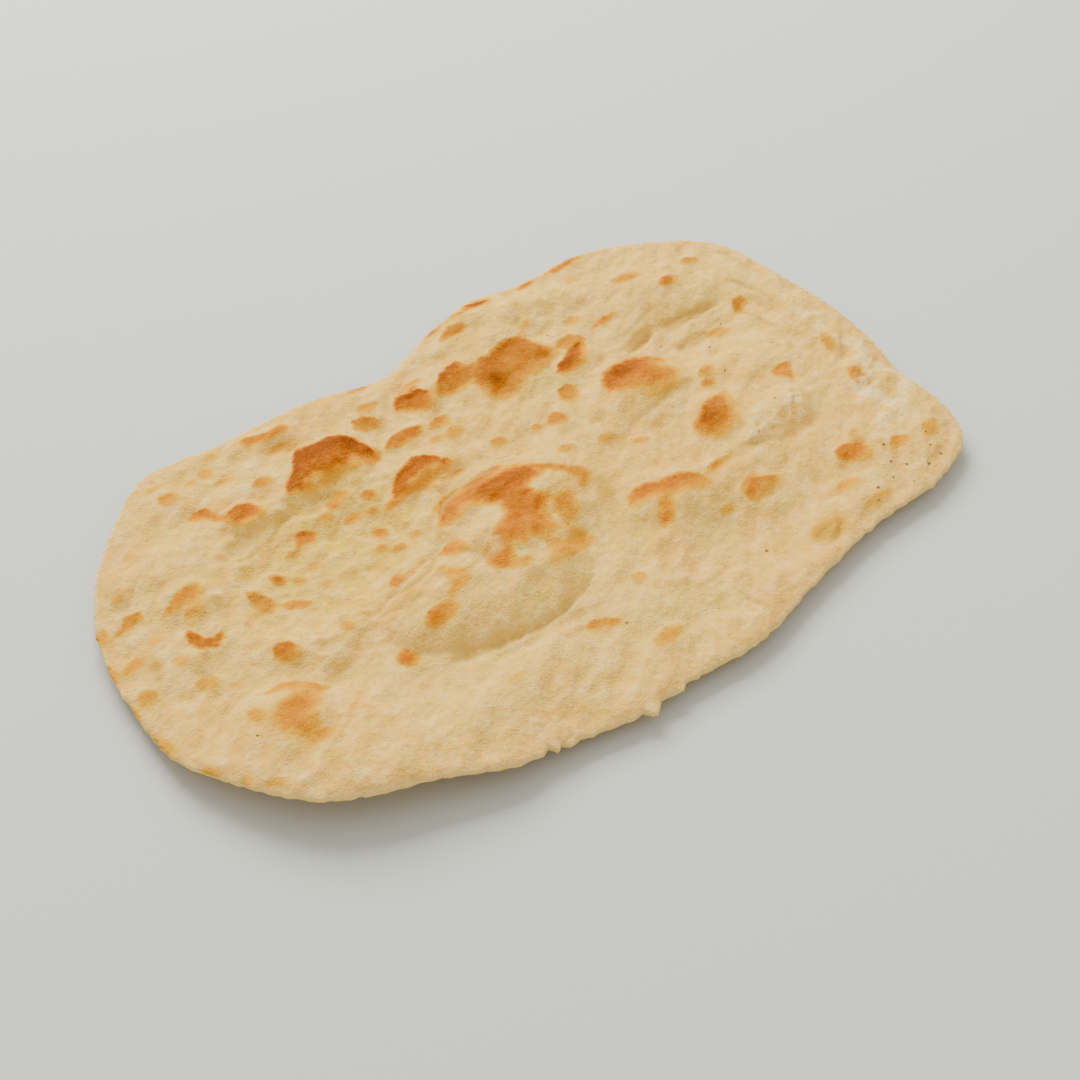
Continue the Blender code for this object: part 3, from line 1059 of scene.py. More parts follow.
# Places inside the browned areas that are darker or paler than the area round them.
BROWNING_TINTS: tuple[Tint, ...] = (
    Tint(-48, 73.5, 18, 6, -2, 0.26, -0.1),
    Tint(-37, 64, 5, 15, 4, 0.16, 0.1),
    Tint(-57, 62, 10, 5, 0, -0.14, 0.1),
    Tint(-66, 61, 4, 4, 0, 0.14, 0.0),
    Tint(-42, 66, 5, 5, 0, -0.10, 0.2),
    Tint(-29, 39, 9, 4, 8, 0.24, -0.1),
    Tint(-38, 34, 8, 4, 30, 0.10, 0.0),
    Tint(-9, 6, 14, 5, -6, 0.08, -0.1),
    Tint(-33, 6, 5, 3, 0, -0.12, 0.0),
    Tint(-36, -19, 7, 3, 0, -0.20, 0.2),
    # The next three are paler paint on the big bubble's near slope: painted light against the shade
    # that slope takes.
    Tint(-43, -16, 10, 8, 0, -0.36, 0.1),
    Tint(-21, -28, 10, 10, 0, -0.26, -0.1),
    Tint(-10, -22, 8, 10, 0, -0.12, 0.1),
    Tint(-29, 10, 8, 3, 0, -0.04, 0.0),
    Tint(0, 72.5, 7, 3, 0, 0.30, -0.2),
    Tint(32, 56, 7, 12, -4, 0.38, 0.3),
    Tint(38, 63, 12, 4, 16, 0.18, -0.5),
    Tint(52, 60, 8, 9, 0, 0.12, 0.0),
    Tint(43, 58, 5, 6, 0, -0.14, 0.2),
    Tint(46, 52, 9, 5, 0, -0.14, 0.2),
    Tint(52, 69, 9, 3, 0, 0.06, -0.3),
    Tint(47, 66, 4, 6, 30, 0.14, -0.2),
    Tint(69, 21, 13, 4, 2, 0.30, -0.1),
    Tint(61, 10, 5, 5, 0, -0.15, 0.0),
    Tint(76, 7, 22, 14, 0, 0.0, 0.5),
    Tint(85, 16, 8, 14, 0, -0.50, 0.6),
    Tint(56, 17, 6, 9, 0, -0.25, 0.2),
    Tint(62, -30, 10, 6, 20, -0.15, 0.2),
    Tint(37, -44, 8, 9, 0, -0.22, 0.5),
    Tint(12, -36, 6, 6, 0, -0.10, 0.1),
    Tint(71, -23, 11, 4, 12, 0.32, 0.3),
    Tint(80, -20, 7, 4, 20, -0.08, 0.1),
    Tint(18, -36, 7, 3, 0, 0.10, -0.1),
    Tint(45, -63, 4, 3, 0, 0.10, 0.0),
    Tint(61, 42.5, 8, 3, 14, 0.20, -0.1),
)

# Creases, from the right end's far folds to the near rim, with painted shade in many of them.
# The widest, with no height, are painted shade alone: of broad bends and beside bubbles.
CREASES: tuple[Crease, ...] = (
    Crease(((78, 28), (90, 28.5), (99, 30.5)), 1.5, -0.7, 0.8),
    Crease(((86, 37), (97, 38.5), (106, 41), (115, 42.5)), 1.6, -0.5, 0.4),
    Crease(((90, 34), (98, 36)), 1.2, -0.3, 0.3),
    Crease(((104, 31), (114, 30.3), (124, 28.2), (135, 25.8)), 1.5, -0.7, 0.6),
    Crease(((114, 26.5), (124, 25.5), (135, 25)), 1.3, -0.5, 0.6),
    Crease(((112, 22.5), (124, 23.2), (134, 23)), 1.2, 0.5, 0.0),
    Crease(
        ((97, 14.5), (104, 17), (109, 17.2), (113, 14.8), (118, 16.5), (129, 16.8)), 1.3, -0.6, 0.5
    ),
    Crease(((137, 15), (138.5, 6), (138, -7)), 1.8, -0.7, 0.6),
    Crease(((143, 9), (144, 2), (141, -6)), 1.8, 0.6, 0.0),
    Crease(((151, 37), (154, 28), (154.5, 18), (153, 8)), 2.0, -0.4, 0.5),
    Crease(((166, 54), (167.5, 46), (167, 36), (166, 26)), 1.3, -0.4, 0.4),
    Crease(((111, 73.5), (116, 71), (121, 67)), 1.2, -0.4, 0.4),
    Crease(((94, 60), (105, 60.5), (116, 63)), 2.2, -0.5, 0.3),
    Crease(((103, 83), (110, 79)), 1.4, -0.3, 0.3),
    Crease(((88, -48), (95, -44.5), (103, -37.5)), 1.2, 0.5, 0.0),
    Crease(((97, -43.5), (101, -41), (106, -39.5)), 1.0, -0.4, 0.3),
    Crease(((95, -10.5), (100, -7.5)), 0.9, -0.3, 0.5),
    Crease(((127, -33.5), (132, -28.5)), 1.0, 0.5, 0.0),
    Crease(((142, -34), (147, -29), (151, -26)), 1.2, 0.5, 0.0),
    Crease(((139, -50), (144, -47.5), (149, -45.5)), 1.2, 0.5, 0.0),
    Crease(((126, -17), (129, -11)), 1.2, -0.3, 0.2),
    # These two are grooves darkened with painted shade: under a bubble, and below a burnt bubble.
    Crease(((62, -43.5), (68, -46), (76, -50), (84, -52)), 2.2, -0.4, 0.6),
    Crease(((44, -3), (52, -3.2), (62, -3), (70, -2), (78, 0)), 2.4, -0.5, 0.45),
    Crease(((52, 47), (59, 47.5), (64, 50)), 1.6, -0.4, 0.4),
    # A groove along the big bubble's near foot, darkened with painted shade.
    Crease(
        ((-96, -44), (-86, -49.5), (-74, -53), (-62, -56), (-52, -57), (-42, -55)), 1.6, -0.5, 0.3
    ),
    # Painted shadow outside the big bubble's right foot, with no groove.
    Crease(((15, -12), (11, -21), (6, -28), (-1, -33)), 4.4, 0.0, 0.95),
    Crease(((9, -39), (7, -45), (1, -49)), 1.8, -0.3, 0.2),
    Crease(((-43, 11), (-38, 14.6), (-30, 17), (-20, 17.2), (-9, 15)), 0.9, -0.4, 0.9),
    # These two are painted shade below burnt bubbles, with no groove.
    Crease(((-98, 58), (-91, 54.5), (-84, 57)), 3.4, 0.0, 0.35),
    Crease(((-60, 57), (-52, 54.5), (-44, 55)), 3.4, 0.0, 0.3),
    Crease(((-152, -46), (-141, -42), (-131, -36.5), (-120, -31), (-109, -27.5)), 1.6, 0.6, 0.0),
    Crease(((-127, -22), (-119, -22.5), (-112, -20)), 2.2, -0.6, 0.6),
    Crease(((-129, -16.5), (-121, -17.5), (-114, -13)), 1.4, 0.4, 0.0),
    Crease(((-160, 31), (-163, 23), (-168, 15)), 2.0, -0.4, 0.6),
    Crease(((-98, 43), (-92, 46.5), (-86, 50), (-79, 51)), 1.3, -0.6, 0.6),
    Crease(((-94, 43), (-87, 47)), 1.2, 0.4, 0.0),
    Crease(((-70, 51.3), (-64, 49.5), (-59, 47)), 1.0, -0.6, 0.8),
    Crease(((-112, 45), (-103, 44), (-97, 44.2)), 1.2, -0.4, 0.5),
    Crease(((-89, -7.5), (-78, -9), (-68, -8.2), (-59, -3.5)), 1.2, -0.6, 0.8),
    Crease(((-98, -12), (-87, -14.5), (-74, -15)), 1.3, -0.35, 0.3),
    Crease(((-104, -19), (-93, -20), (-84, -19)), 1.4, -0.3, 0.25),
    Crease(((-99, 28), (-95, 32), (-88, 36)), 1.2, -0.3, 0.4),
    Crease(((-2, -92), (-1.5, -100), (-1, -109)), 1.4, -0.3, 0.5),
    Crease(((4, -104), (4.5, -112)), 1.0, -0.25, 0.4),
    Crease(((36, -98.5), (45, -97), (52, -92)), 2.4, -0.5, 0.7),
    Crease(((40, -103), (48, -101), (57, -96)), 1.8, -0.4, 0.5),
    Crease(((44, -92), (50, -95), (58, -95)), 1.4, 0.4, 0.0),
    Crease(((-12, -83), (-3, -84), (9, -83.5)), 1.6, -0.4, 0.4),
    Crease(((4, -75.5), (10, -71.5)), 1.2, -0.35, 0.3),
    Crease(((43, 13), (50, 16), (57, 18)), 1.0, -0.3, 0.3),
    Crease(((-12, 18), (-5, 16.5), (3, 11)), 1.0, -0.4, 0.3),
    Crease(((63, 73), (68, 78), (73, 80)), 1.4, -0.35, 0.5),
)

# Charred specks of flour: place along and across, and size.
CHAR_SPECKS: tuple[tuple[float, float, float], ...] = (
    (103, -38.8, 1.3), (105, -39.6, 1.0), (76, -43, 1.1), (97.5, -34, 0.9), (107.5, 7, 1.0),
    (94, 21.5, 0.9), (124, 14.5, 0.9), (99, -8, 0.9), (127.5, -9.5, 0.8), (118, -73, 1.2),
    (79, -96.3, 1.1), (88, -97, 0.9), (95, -91, 1.1), (104, -102, 1.2), (114, -96, 1.0),
    (102, -83, 1.0), (112, -102, 1.0), (22, -88, 0.9), (-40, -76, 0.8), (-13, -94, 0.7),
    (68, 61, 0.8), (22.5, 33.5, 0.8), (-160, -24.5, 0.8), (98, -96, 0.9), (91, -104, 0.8),
    (120, -90, 0.9), (-64, 49, 0.8), (73, -101, 0.9),
)

# Torn tabs and notches of the near rim, placed on the sheet itself, not on the slanted plan.
TEARS: tuple[Tear, ...] = (
    Tear(-65.5, -110.0, 2.8, 3.0),
    Tear(-70.5, -108.5, -1.0, 2.2),
    Tear(-60.5, -109.0, -1.3, 2.2),
    Tear(-52.0, -109.5, 1.2, 1.8),
    Tear(-48.5, -110.0, -0.8, 2.0),
    Tear(-95.0, -100.0, 2.0, 1.7),
    Tear(-97.2, -99.0, -1.2, 1.4),
    Tear(-99.5, -98.2, 1.8, 1.6),
    Tear(-102.3, -97.5, -0.8, 1.5),
    Tear(-105.0, -97.0, 1.2, 1.5),
    Tear(94.0, -110.0, 1.4, 1.8),
)


# ---------------------------------------------------------------------------
# Finishes
# ---------------------------------------------------------------------------


@dataclass(frozen=True)
class Veil:
    """How a value lays one tint over another: none where it is start, the most where it is end."""

    start: float
    end: float
    most: float = 1.0


@dataclass(frozen=True)
class Mottling:
    """Fractal noise between 0 and 1: its scale in cells per metre, and how fine its detail is."""

    scale: float
    detail: float


class Nodes:
    """A short hand for laying out one material's shader nodes."""

    noise_roughness: float = 0.6

    def __init__(self, name: str) -> None:
        """Start an empty material.

        Args:
            name: The material's name.
        """
        self.material = bpy.data.materials.new(name)
        self.material.use_nodes = True
        self.tree = self.material.node_tree
        self.tree.nodes.clear()

    def add(
        self, kind: str, inputs: dict[str | int, Source] | None = None, **settings: object
    ) -> bpy.types.Node:
        """Add one node.

        Args:
            kind: The node's type.
            inputs: Values or sockets for its inputs, by name or number.
            settings: Values for the node's own settings.

        Returns:
            The new node.
        """
        node = self.tree.nodes.new(kind)
        for name, value in settings.items():
            setattr(node, name, value)
        for key, value in (inputs or {}).items():
            if isinstance(value, bpy.types.NodeSocket):
                self.tree.links.new(value, node.inputs[key])
            else:
                node.inputs[key].default_value = value
        return node

    def math(self, operation: str, *values: Source) -> bpy.types.NodeSocket:
        """Combine values with one math node and return its result."""
        node = self.add("ShaderNodeMath", dict(enumerate(values)), operation=operation)
        return node.outputs[0]

    def times(self, first: Source, second: Source) -> bpy.types.NodeSocket:
        """Multiply two values and return the result."""
        return self.math("MULTIPLY", first, second)

    def weighted(
        self, values: tuple[Source, ...], weights: tuple[float, ...], centre: float = 0.0
    ) -> bpy.types.NodeSocket:
        """Add up values by their weights.

        Args:
            values: The values.
            weights: A weight for each.
            centre: What is taken off each value before it is weighed.

        Returns:
            The sum.
        """
        total: Source = -centre * sum(weights)
        for value, weight in zip(values, weights):
            total = self.math("MULTIPLY_ADD", value, weight, total)
        return total

    def span(self, value: Source, low: float, high: float) -> bpy.types.NodeSocket:
        """Turn a value into a share with a smooth step.

        Args:
            value: The value.
            low: Where the share is 0.
            high: Where the share is 1.

        Returns:
            The share.
        """
        inputs = {"Value": value, "From Min": low, "From Max": high}
        node = self.add("ShaderNodeMapRange", inputs, interpolation_type="SMOOTHSTEP")
        return node.outputs["Result"]

    def mottled(self, where: Source, kind: Mottling) -> bpy.types.NodeSocket:
        """Lay out fractal noise.

        Args:
            where: Each point's place.
            kind: The noise's scale and detail.

        Returns:
            The noise, from 0 to 1.
        """
        inputs = {"Vector": where, "Scale": kind.scale, "Detail": kind.detail}
        inputs["Roughness"] = self.noise_roughness
        return self.add("ShaderNodeTexNoise", inputs).outputs[0]

    def dots(
        self, where: Source, scale: float, edge: tuple[float, float]
    ) -> bpy.types.NodeSocket:
        """Scatter small round dots.

        Args:
            where: Each point's place.
            scale: How many dots there are in a metre.
            edge: Where a dot begins to fade and where it ends, as shares of their spacing.

        Returns:
            1 in a dot and 0 between them.
        """
        scattered = self.add("ShaderNodeTexVoronoi", {"Vector": where, "Scale": scale})
        return self.math("SUBTRACT", 1.0, self.span(scattered.outputs["Distance"], *edge))

    def painted(self, name: Painted) -> bpy.types.NodeSocket:
        """Return one of the mesh's own painted values."""
        return self.add("ShaderNodeAttribute", attribute_name=name.value).outputs["Fac"]

    def mix(self, share: Source, first: Source, second: Source) -> bpy.types.NodeSocket:
        """Mix two colours.

        Args:
            share: How much of the second colour there is, from 0 to 1.
            first: The first colour.
            second: The second colour.

        Returns:
            The mixed colour.
        """
        inputs = {0: share, 6: first, 7: second}
        return self.add("ShaderNodeMix", inputs, data_type="RGBA").outputs[2]

    def veiled(
        self, under: Source, over: Source, value: Source, veil: Veil
    ) -> bpy.types.NodeSocket:
        """Lay one colour over another where a value is high, or low.

        Args:
            under: The colour below.
            over: The colour laid over it.
            value: The value that tells where.
            veil: How the value turns into the upper colour's share.

        Returns:
            The mixed colour.
        """
        share = self.times(self.span(value, veil.start, veil.end), veil.most)
        return self.mix(share, under, over)

    def ramp(self, value: Source, stops: Stops) -> bpy.types.NodeSocket:
        """Turn a value into a colour.

        Args:
            value: The value, from 0 to 1.
            stops: Each place on the ramp with its colour.

        Returns:
            The colour.
        """
        node = self.add("ShaderNodeValToRGB", {"Fac": value})
        ramp = node.color_ramp
        while len(ramp.elements) < len(stops):
            ramp.elements.new(0.5)
        for element, (place, colour) in zip(ramp.elements, stops):
            element.position = place
            element.color = colour
        return node.outputs["Color"]


@dataclass(frozen=True)
class CrustFinish:
    """Baked flour crust: matt cream, tan at the rim, amber to dark brown where it blistered.

    Cloud, patch, mottle, blotch and grain are mottling from about 30 mm down to under 1 mm.
    Scales are in cells per metre. Weights go with those values, in the order named beside them.
    Outer and full softness turn the painted softness into the places, in millimetres, where a
    browned area begins and where it is at its full depth. Swing is how unevenly it is browned.
    """

    cream: Colour = (0.83, 0.53, 0.100, 1.0)
    warm_cream: Colour = (0.83, 0.46, 0.070, 1.0)
    rim_tan: Colour = (0.82, 0.45, 0.085, 1.0)
    yellow: Colour = (0.76, 0.495, 0.032, 1.0)
    dull_tan: Colour = (0.62, 0.36, 0.060, 1.0)
    blush: Colour = (0.93, 0.47, 0.095, 1.0)
    # Olive of the crust's freckles, and of the painted shade in its creases.
    olive_freckle_and_shade: Colour = (0.50, 0.32, 0.040, 1.0)
    crumb: Colour = (0.95, 0.64, 0.190, 1.0)
    # White of flour, also painted as sheen on the crinkles.
    flour_white_and_sheen: Colour = (0.97, 0.70, 0.260, 1.0)
    char: Colour = (0.05, 0.03, 0.015, 1.0)
    red_browning: Stops = (
        (0.00, (0.82, 0.48, 0.070, 1.0)),
        (0.12, (0.80, 0.375, 0.010, 1.0)),
        (0.24, (0.80, 0.304, 0.000, 1.0)),
        (0.36, (0.73, 0.238, 0.000, 1.0)),
        (0.50, (0.60, 0.172, 0.000, 1.0)),
        (0.70, (0.46, 0.113, 0.000, 1.0)),
        (1.00, (0.27, 0.060, 0.003, 1.0)),
    )
    gold_browning: Stops = (
        (0.00, (0.78, 0.47, 0.060, 1.0)),
        (0.12, (0.72, 0.360, 0.024, 1.0)),
        (0.24, (0.63, 0.276, 0.008, 1.0)),
        (0.36, (0.56, 0.214, 0.004, 1.0)),
        (0.50, (0.47, 0.160, 0.001, 1.0)),
        (0.70, (0.38, 0.112, 0.000, 1.0)),
        (1.00, (0.25, 0.060, 0.003, 1.0)),
    )
    cloud: Mottling = Mottling(30.0, 3.0)
    patch: Mottling = Mottling(75.0, 3.0)
    mottle: Mottling = Mottling(140.0, 4.0)
    blotch: Mottling = Mottling(420.0, 3.0)
    grain: Mottling = Mottling(1300.0, 2.0)
    pink: Mottling = Mottling(230.0, 2.0)
    flecked: Mottling = Mottling(210.0, 0.0)
    thin_yellow: float = 0.6
    warming: Veil = Veil(0.36, 0.66)
    yellowing: Veil = Veil(0.85, 1.15, 0.66)
    yellowing_weights: tuple[float, ...] = (1.0, 0.7)  # patch, mottle
    paling: Veil = Veil(0.66, 0.98, 0.5)
    paling_weights: tuple[float, ...] = (1.0, 0.5)  # mottle, blotch
    dulling: Veil = Veil(0.76, 0.52, 0.32)
    dulling_weights: tuple[float, ...] = (1.0, 0.6)  # mottle, blotch
    blushing: Veil = Veil(0.50, 0.68, 0.5)
    ragged_weights: tuple[float, ...] = (1.8, 2.4)  # blotch, mottle
    uneven_weights: tuple[float, ...] = (0.9, 1.0, 0.9)  # mottle, blotch, grain
    outer_softness: float = -1.5
    full_softness: float = 1.7
    least_softness: float = 0.2
    swing: float = 0.8
    swing_limit: float = 0.5
    full_cover: float = 0.14
    freckling: Veil = Veil(1.0, 0.7, 0.22)
    freckling_weights: tuple[float, ...] = (0.9, 1.1)  # blotch, grain
    pore_scale: float = 620.0
    pore_edge: tuple[float, float] = (0.08, 0.24)
    pitting: Veil = Veil(0.4, 0.9, 0.5)
    speck_scale: float = 240.0
    speck_edge: tuple[float, float] = (0.06, 0.14)
    specking: Veil = Veil(0.62, 0.68, 0.55)
    charring: Veil = Veil(0.42, 0.72, 0.85)
    dusting_and_sheen: Veil = Veil(0.45, 0.60, 0.9)
    bump_weights: tuple[float, ...] = (0.6, 0.55, 1.5)  # blotch, grain, mottle
    pore_sink: float = 0.3
    bump_strength: float = 0.55
    bump_distance: float = 0.0018
    roughness: float = 0.86
    browned_gloss: float = 0.20
    specular: float = 0.02

    def material(self) -> bpy.types.Material:
        """Lay out the crust's shader.

        Returns:
            The material, which reads the sheet's painted values.
        """
        n = Nodes("baked_crust")
        where = n.add("ShaderNodeTexCoord").outputs["Object"]
        mottle = n.mottled(where, self.mottle)
        blotch = n.mottled(where, self.blotch)
        grain = n.mottled(where, self.grain)
        level = self.browning_level(n, mottle, blotch, grain)
        cover = n.span(level, 0.0, self.full_cover)
        pitted = n.times(cover, n.span(level, self.pitting.start, self.pitting.end))
        pores = n.times(n.dots(where, self.pore_scale, self.pore_edge), pitted)

        red, gold = n.ramp(level, self.red_browning), n.ramp(level, self.gold_browning)
        brown = n.mix(n.painted(Painted.GOLD), red, gold)
        colour = n.mix(cover, self.plain_crust(n, where, mottle, blotch), brown)
        # Painted shade: the creases' olive, partly their own staining, partly shade in grooves and
        # beside bubbles.
        colour = n.mix(n.painted(Painted.CREASE_SHADE), colour, self.olive_freckle_and_shade)
        freckle = n.weighted((blotch, grain), self.freckling_weights)
        colour = n.veiled(colour, self.olive_freckle_and_shade, freckle, self.freckling)
        colour = n.mix(n.times(pores, self.pitting.most), colour, self.red_browning[-1][1])
        colour = self.marked(n, colour, where, mottle, grain)

        height = n.weighted((blotch, grain, mottle), self.bump_weights)
        height = n.math("SUBTRACT", height, n.times(pores, self.pore_sink))
        relief = {"Height": height, "Strength": self.bump_strength, "Distance": self.bump_distance}
        inputs = {
            "Base Color": colour,
            "Roughness": n.math("SUBTRACT", self.roughness, n.times(cover, self.browned_gloss)),
            "Normal": n.add("ShaderNodeBump", relief).outputs["Normal"],
            "Specular IOR Level": self.specular,
        }
        shader = n.add("ShaderNodeBsdfPrincipled", inputs)
        n.add("ShaderNodeOutputMaterial", {"Surface": shader.outputs[0]})
        return n.material

    def plain_crust(
        self, n: Nodes, where: Source, mottle: Source, blotch: Source
    ) -> bpy.types.NodeSocket:
        """Tint the crust as it is where it isn't browned.

        Args:
            n: The material's nodes.
            where: Each point's place.
            mottle: The mottle's noise.
            blotch: The blotch's noise.

        Returns:
            The colour.
        """
        base = n.veiled(self.cream, self.warm_cream, n.mottled(where, self.cloud), self.warming)
        base = n.mix(n.times(n.painted(Painted.THIN), self.thin_yellow), base, self.yellow)
        base = n.mix(n.painted(Painted.RIM), base, self.rim_tan)
        yellowed = n.weighted((n.mottled(where, self.patch), mottle), self.yellowing_weights)
        base = n.veiled(base, self.yellow, yellowed, self.yellowing)
        pale = n.weighted((mottle, blotch), self.paling_weights)
        base = n.veiled(base, self.flour_white_and_sheen, pale, self.paling)
        dull = n.weighted((mottle, blotch), self.dulling_weights)
        base = n.veiled(base, self.dull_tan, dull, self.dulling)
        base = n.veiled(base, self.blush, n.mottled(where, self.pink), self.blushing)
        return n.mix(n.painted(Painted.LIP), base, self.crumb)

    def browning_level(
        self, n: Nodes, mottle: Source, blotch: Source, grain: Source
    ) -> bpy.types.NodeSocket:
        """Work out how far the crust is browned, with ragged edges and an uneven depth.

        Args:
            n: The material's nodes.
            mottle: The mottle's noise.
            blotch: The blotch's noise.
            grain: The grain's noise.

        Returns:
            The level, from 0 to about 1.
        """
        ragged = n.weighted((blotch, mottle), self.ragged_weights, NOISE_MIDDLE)
        edge = n.math("ADD", n.painted(Painted.EDGE), ragged)
        soft = n.painted(Painted.SOFT)
        outer = n.math("SUBTRACT", n.times(soft, self.outer_softness), self.least_softness)
        full = n.math("ADD", n.times(soft, self.full_softness), self.least_softness)
        level = n.times(n.painted(Painted.DEPTH), n.span(edge, outer, full))
        uneven = n.weighted((mottle, blotch, grain), self.uneven_weights, NOISE_MIDDLE)
        swing = n.times(n.math("MINIMUM", level, self.swing_limit), self.swing)
        return n.math("ADD", level, n.times(uneven, swing))

    def marked(
        self, n: Nodes, colour: Source, where: Source, mottle: Source, grain: Source
    ) -> bpy.types.NodeSocket:
        """Add the brown specks, the charred flour and the white flour, which is partly painted
        sheen.

        Args:
            n: The material's nodes.
            colour: The crust's colour below them.
            where: Each point's place.
            mottle: The mottle's noise.
            grain: The grain's noise.

        Returns:
            The colour with its marks.
        """
        flecked = n.mottled(where, self.flecked)
        chosen = n.span(flecked, self.specking.start, self.specking.end)
        speck = n.times(n.dots(where, self.speck_scale, self.speck_edge), chosen)
        colour = n.mix(n.times(speck, self.specking.most), colour, self.red_browning[-1][1])
        charred = n.math("SUBTRACT", grain, NOISE_MIDDLE)
        charred = n.math("ADD", n.painted(Painted.CHAR), charred)
        colour = n.veiled(colour, self.char, charred, self.charring)
        # White flour, in places painted sheen on the crinkles and a painted highlight on the big
        # bubble.
        dust_and_sheen = n.span(mottle, self.dusting_and_sheen.start, self.dusting_and_sheen.end)
        dust_and_sheen = n.times(n.times(n.painted(Painted.FLOUR_AND_SHEEN), dust_and_sheen), self.dusting_and_sheen.most)
        return n.mix(dust_and_sheen, colour, self.flour_white_and_sheen)


@dataclass(frozen=True)
class FloorFinish:
    """A plain pale table."""

    colour: Colour = (0.60, 0.61, 0.53, 1.0)
    roughness: float = 0.9

    def material(self) -> bpy.types.Material:
        """Lay out the floor's shader.

        Returns:
            The material.
        """
        n = Nodes("pale_floor")
        inputs = {"Base Color": self.colour, "Roughness": self.roughness}
        shader = n.add("ShaderNodeBsdfPrincipled", inputs)
        n.add("ShaderNodeOutputMaterial", {"Surface": shader.outputs[0]})
        return n.material


# ---------------------------------------------------------------------------
# The crust's relief, its painted values and its rim
# ---------------------------------------------------------------------------


@dataclass(frozen=True)
class SlantedPlan:
    """The slanted plan that the browning is drawn on, where raised crust lies farther over.

    Level is the height in millimetres at which a place is the same on both plans. Lean is how
    far over each raised millimetre lies, and growth how much more for every millimetre outward.
    """

    level: float = 6.2
    lean: Place = (0.92, 0.85)
    growth: float = 0.0024

    def places(
        self, x: np.ndarray, y: np.ndarray, upper: np.ndarray
    ) -> tuple[np.ndarray, np.ndarray]:
        """Lay the crust's points on the plan.

        Args:
            x: Places along the sheet, in millimetres.
            y: Places across the sheet, in millimetres.
            upper: Heights of the upper face.

        Returns:
            Each point's place on the slanted plan.
        """
        raised = upper - self.level
        plan_x = x + (self.lean[0] + self.growth * x) * raised
        plan_y = y + (self.lean[1] + self.growth * y) * raised
        return plan_x, plan_y


@dataclass(frozen=True)
class Points:
    """The crust's points: places on the sheet, distances from its rim, places on the slant."""

    x: np.ndarray
    y: np.ndarray
    rim: np.ndarray
    plan_x: np.ndarray
    plan_y: np.ndarray


@dataclass(frozen=True)
class Relief:
    """The crust's fine relief: small blisters, scattered pimples, ripples and creases."""

    spots: Browned = BROWNING
    creases: tuple[Crease, ...] = CREASES
    evened: tuple[Mound, ...] = (
        Mound(-34, -26, 30, 18, 0, 1.0),
        Mound(10, -12, 18, 30, -8, 1.0),
        Mound(0, -34, 26, 14, 20, 0.6),
    )
    pimples: tuple[Pimples, ...] = (
        Pimples(31, Mound(-88, 20, 58, 46, 12), 190, (3.6, 8.5), (0.35, 1.05)),
        Pimples(32, Mound(-140, 10, 40, 55, 0), 50, (6.0, 14.0), (0.2, 0.7)),
        Pimples(33, Mound(0, 55, 130, 40, 0), 110, (4.0, 12.0), (0.2, 0.7)),
        Pimples(34, Mound(50, -30, 110, 60, 0), 110, (6.0, 16.0), (0.15, 0.55)),
        Pimples(35, Mound(-40, -85, 90, 24, 0), 40, (8.0, 18.0), (0.15, 0.5)),
    )
    ripples: tuple[tuple[Ripples, float], ...] = (
        (Ripples(11, 26.0, 28, 1.6, 28.0), 0.36),
        (Ripples(12, 12.0, 28, 1.8, 34.0), 0.34),
        (Ripples(13, 7.0, 28, 1.7, 38.0), 0.21),
        (Ripples(14, 3.6, 36, 1.6, 34.0), 0.09),
    )
    evening_rounds: int = 50
    evened_softness: float = 0.7
    blister_softness: float = 1.1
    pimple_softness: float = 1.4
    crease_strength: float = 1.5
    rim_width: float = 5.0

    def evened_out(self, x: np.ndarray, y: np.ndarray, upper: np.ndarray) -> np.ndarray:
        """Ease the big bubble's right flank and the join between its two swells.

        Args:
            x: Places along the sheet, in millimetres.
            y: Places across the sheet, in millimetres.
            upper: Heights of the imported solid's upper face.

        Returns:
            The heights, smoothed at those places.
        """
        smooth = upper.copy()
        for _ in range(self.evening_rounds):
            smooth[1:-1] = (smooth[:-2] + 2.0 * smooth[1:-1] + smooth[2:]) / 4.0
            smooth[:, 1:-1] = (smooth[:, :-2] + 2.0 * smooth[:, 1:-1] + smooth[:, 2:]) / 4.0
        share = sum(area.over(x, y, self.evened_softness) for area in self.evened)
        return upper + np.clip(share, 0.0, 1.0) * (smooth - upper)

    def heights(self, at: Points) -> np.ndarray:
        """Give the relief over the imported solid's form.

        Args:
            at: The crust's points, without the relief.

        Returns:
            Heights to add, in millimetres, dying away at the rim.
        """
        height = np.zeros(at.x.shape)
        for spot in self.spots:
            if isinstance(spot, Blister) and spot.puff:
                nearest = np.argmin((at.plan_x - spot.x) ** 2 + (at.plan_y - spot.y) ** 2)
                mound = spot.mound(at.x.flat[nearest], at.y.flat[nearest])
                height += mound.over(at.x, at.y, self.blister_softness)
        for scatter in self.pimples:
            for lump in scatter.mounds():
                height += lump.over(at.x, at.y, self.pimple_softness)
        for ripples, size in self.ripples:
            height += size * ripples.over(at.x, at.y)
        for crease in self.creases:
            share = crease.share(at.plan_x, at.plan_y)
            height += self.crease_strength * crease.height * share
        return height * np.clip(at.rim / self.rim_width, 0.0, 1.0)


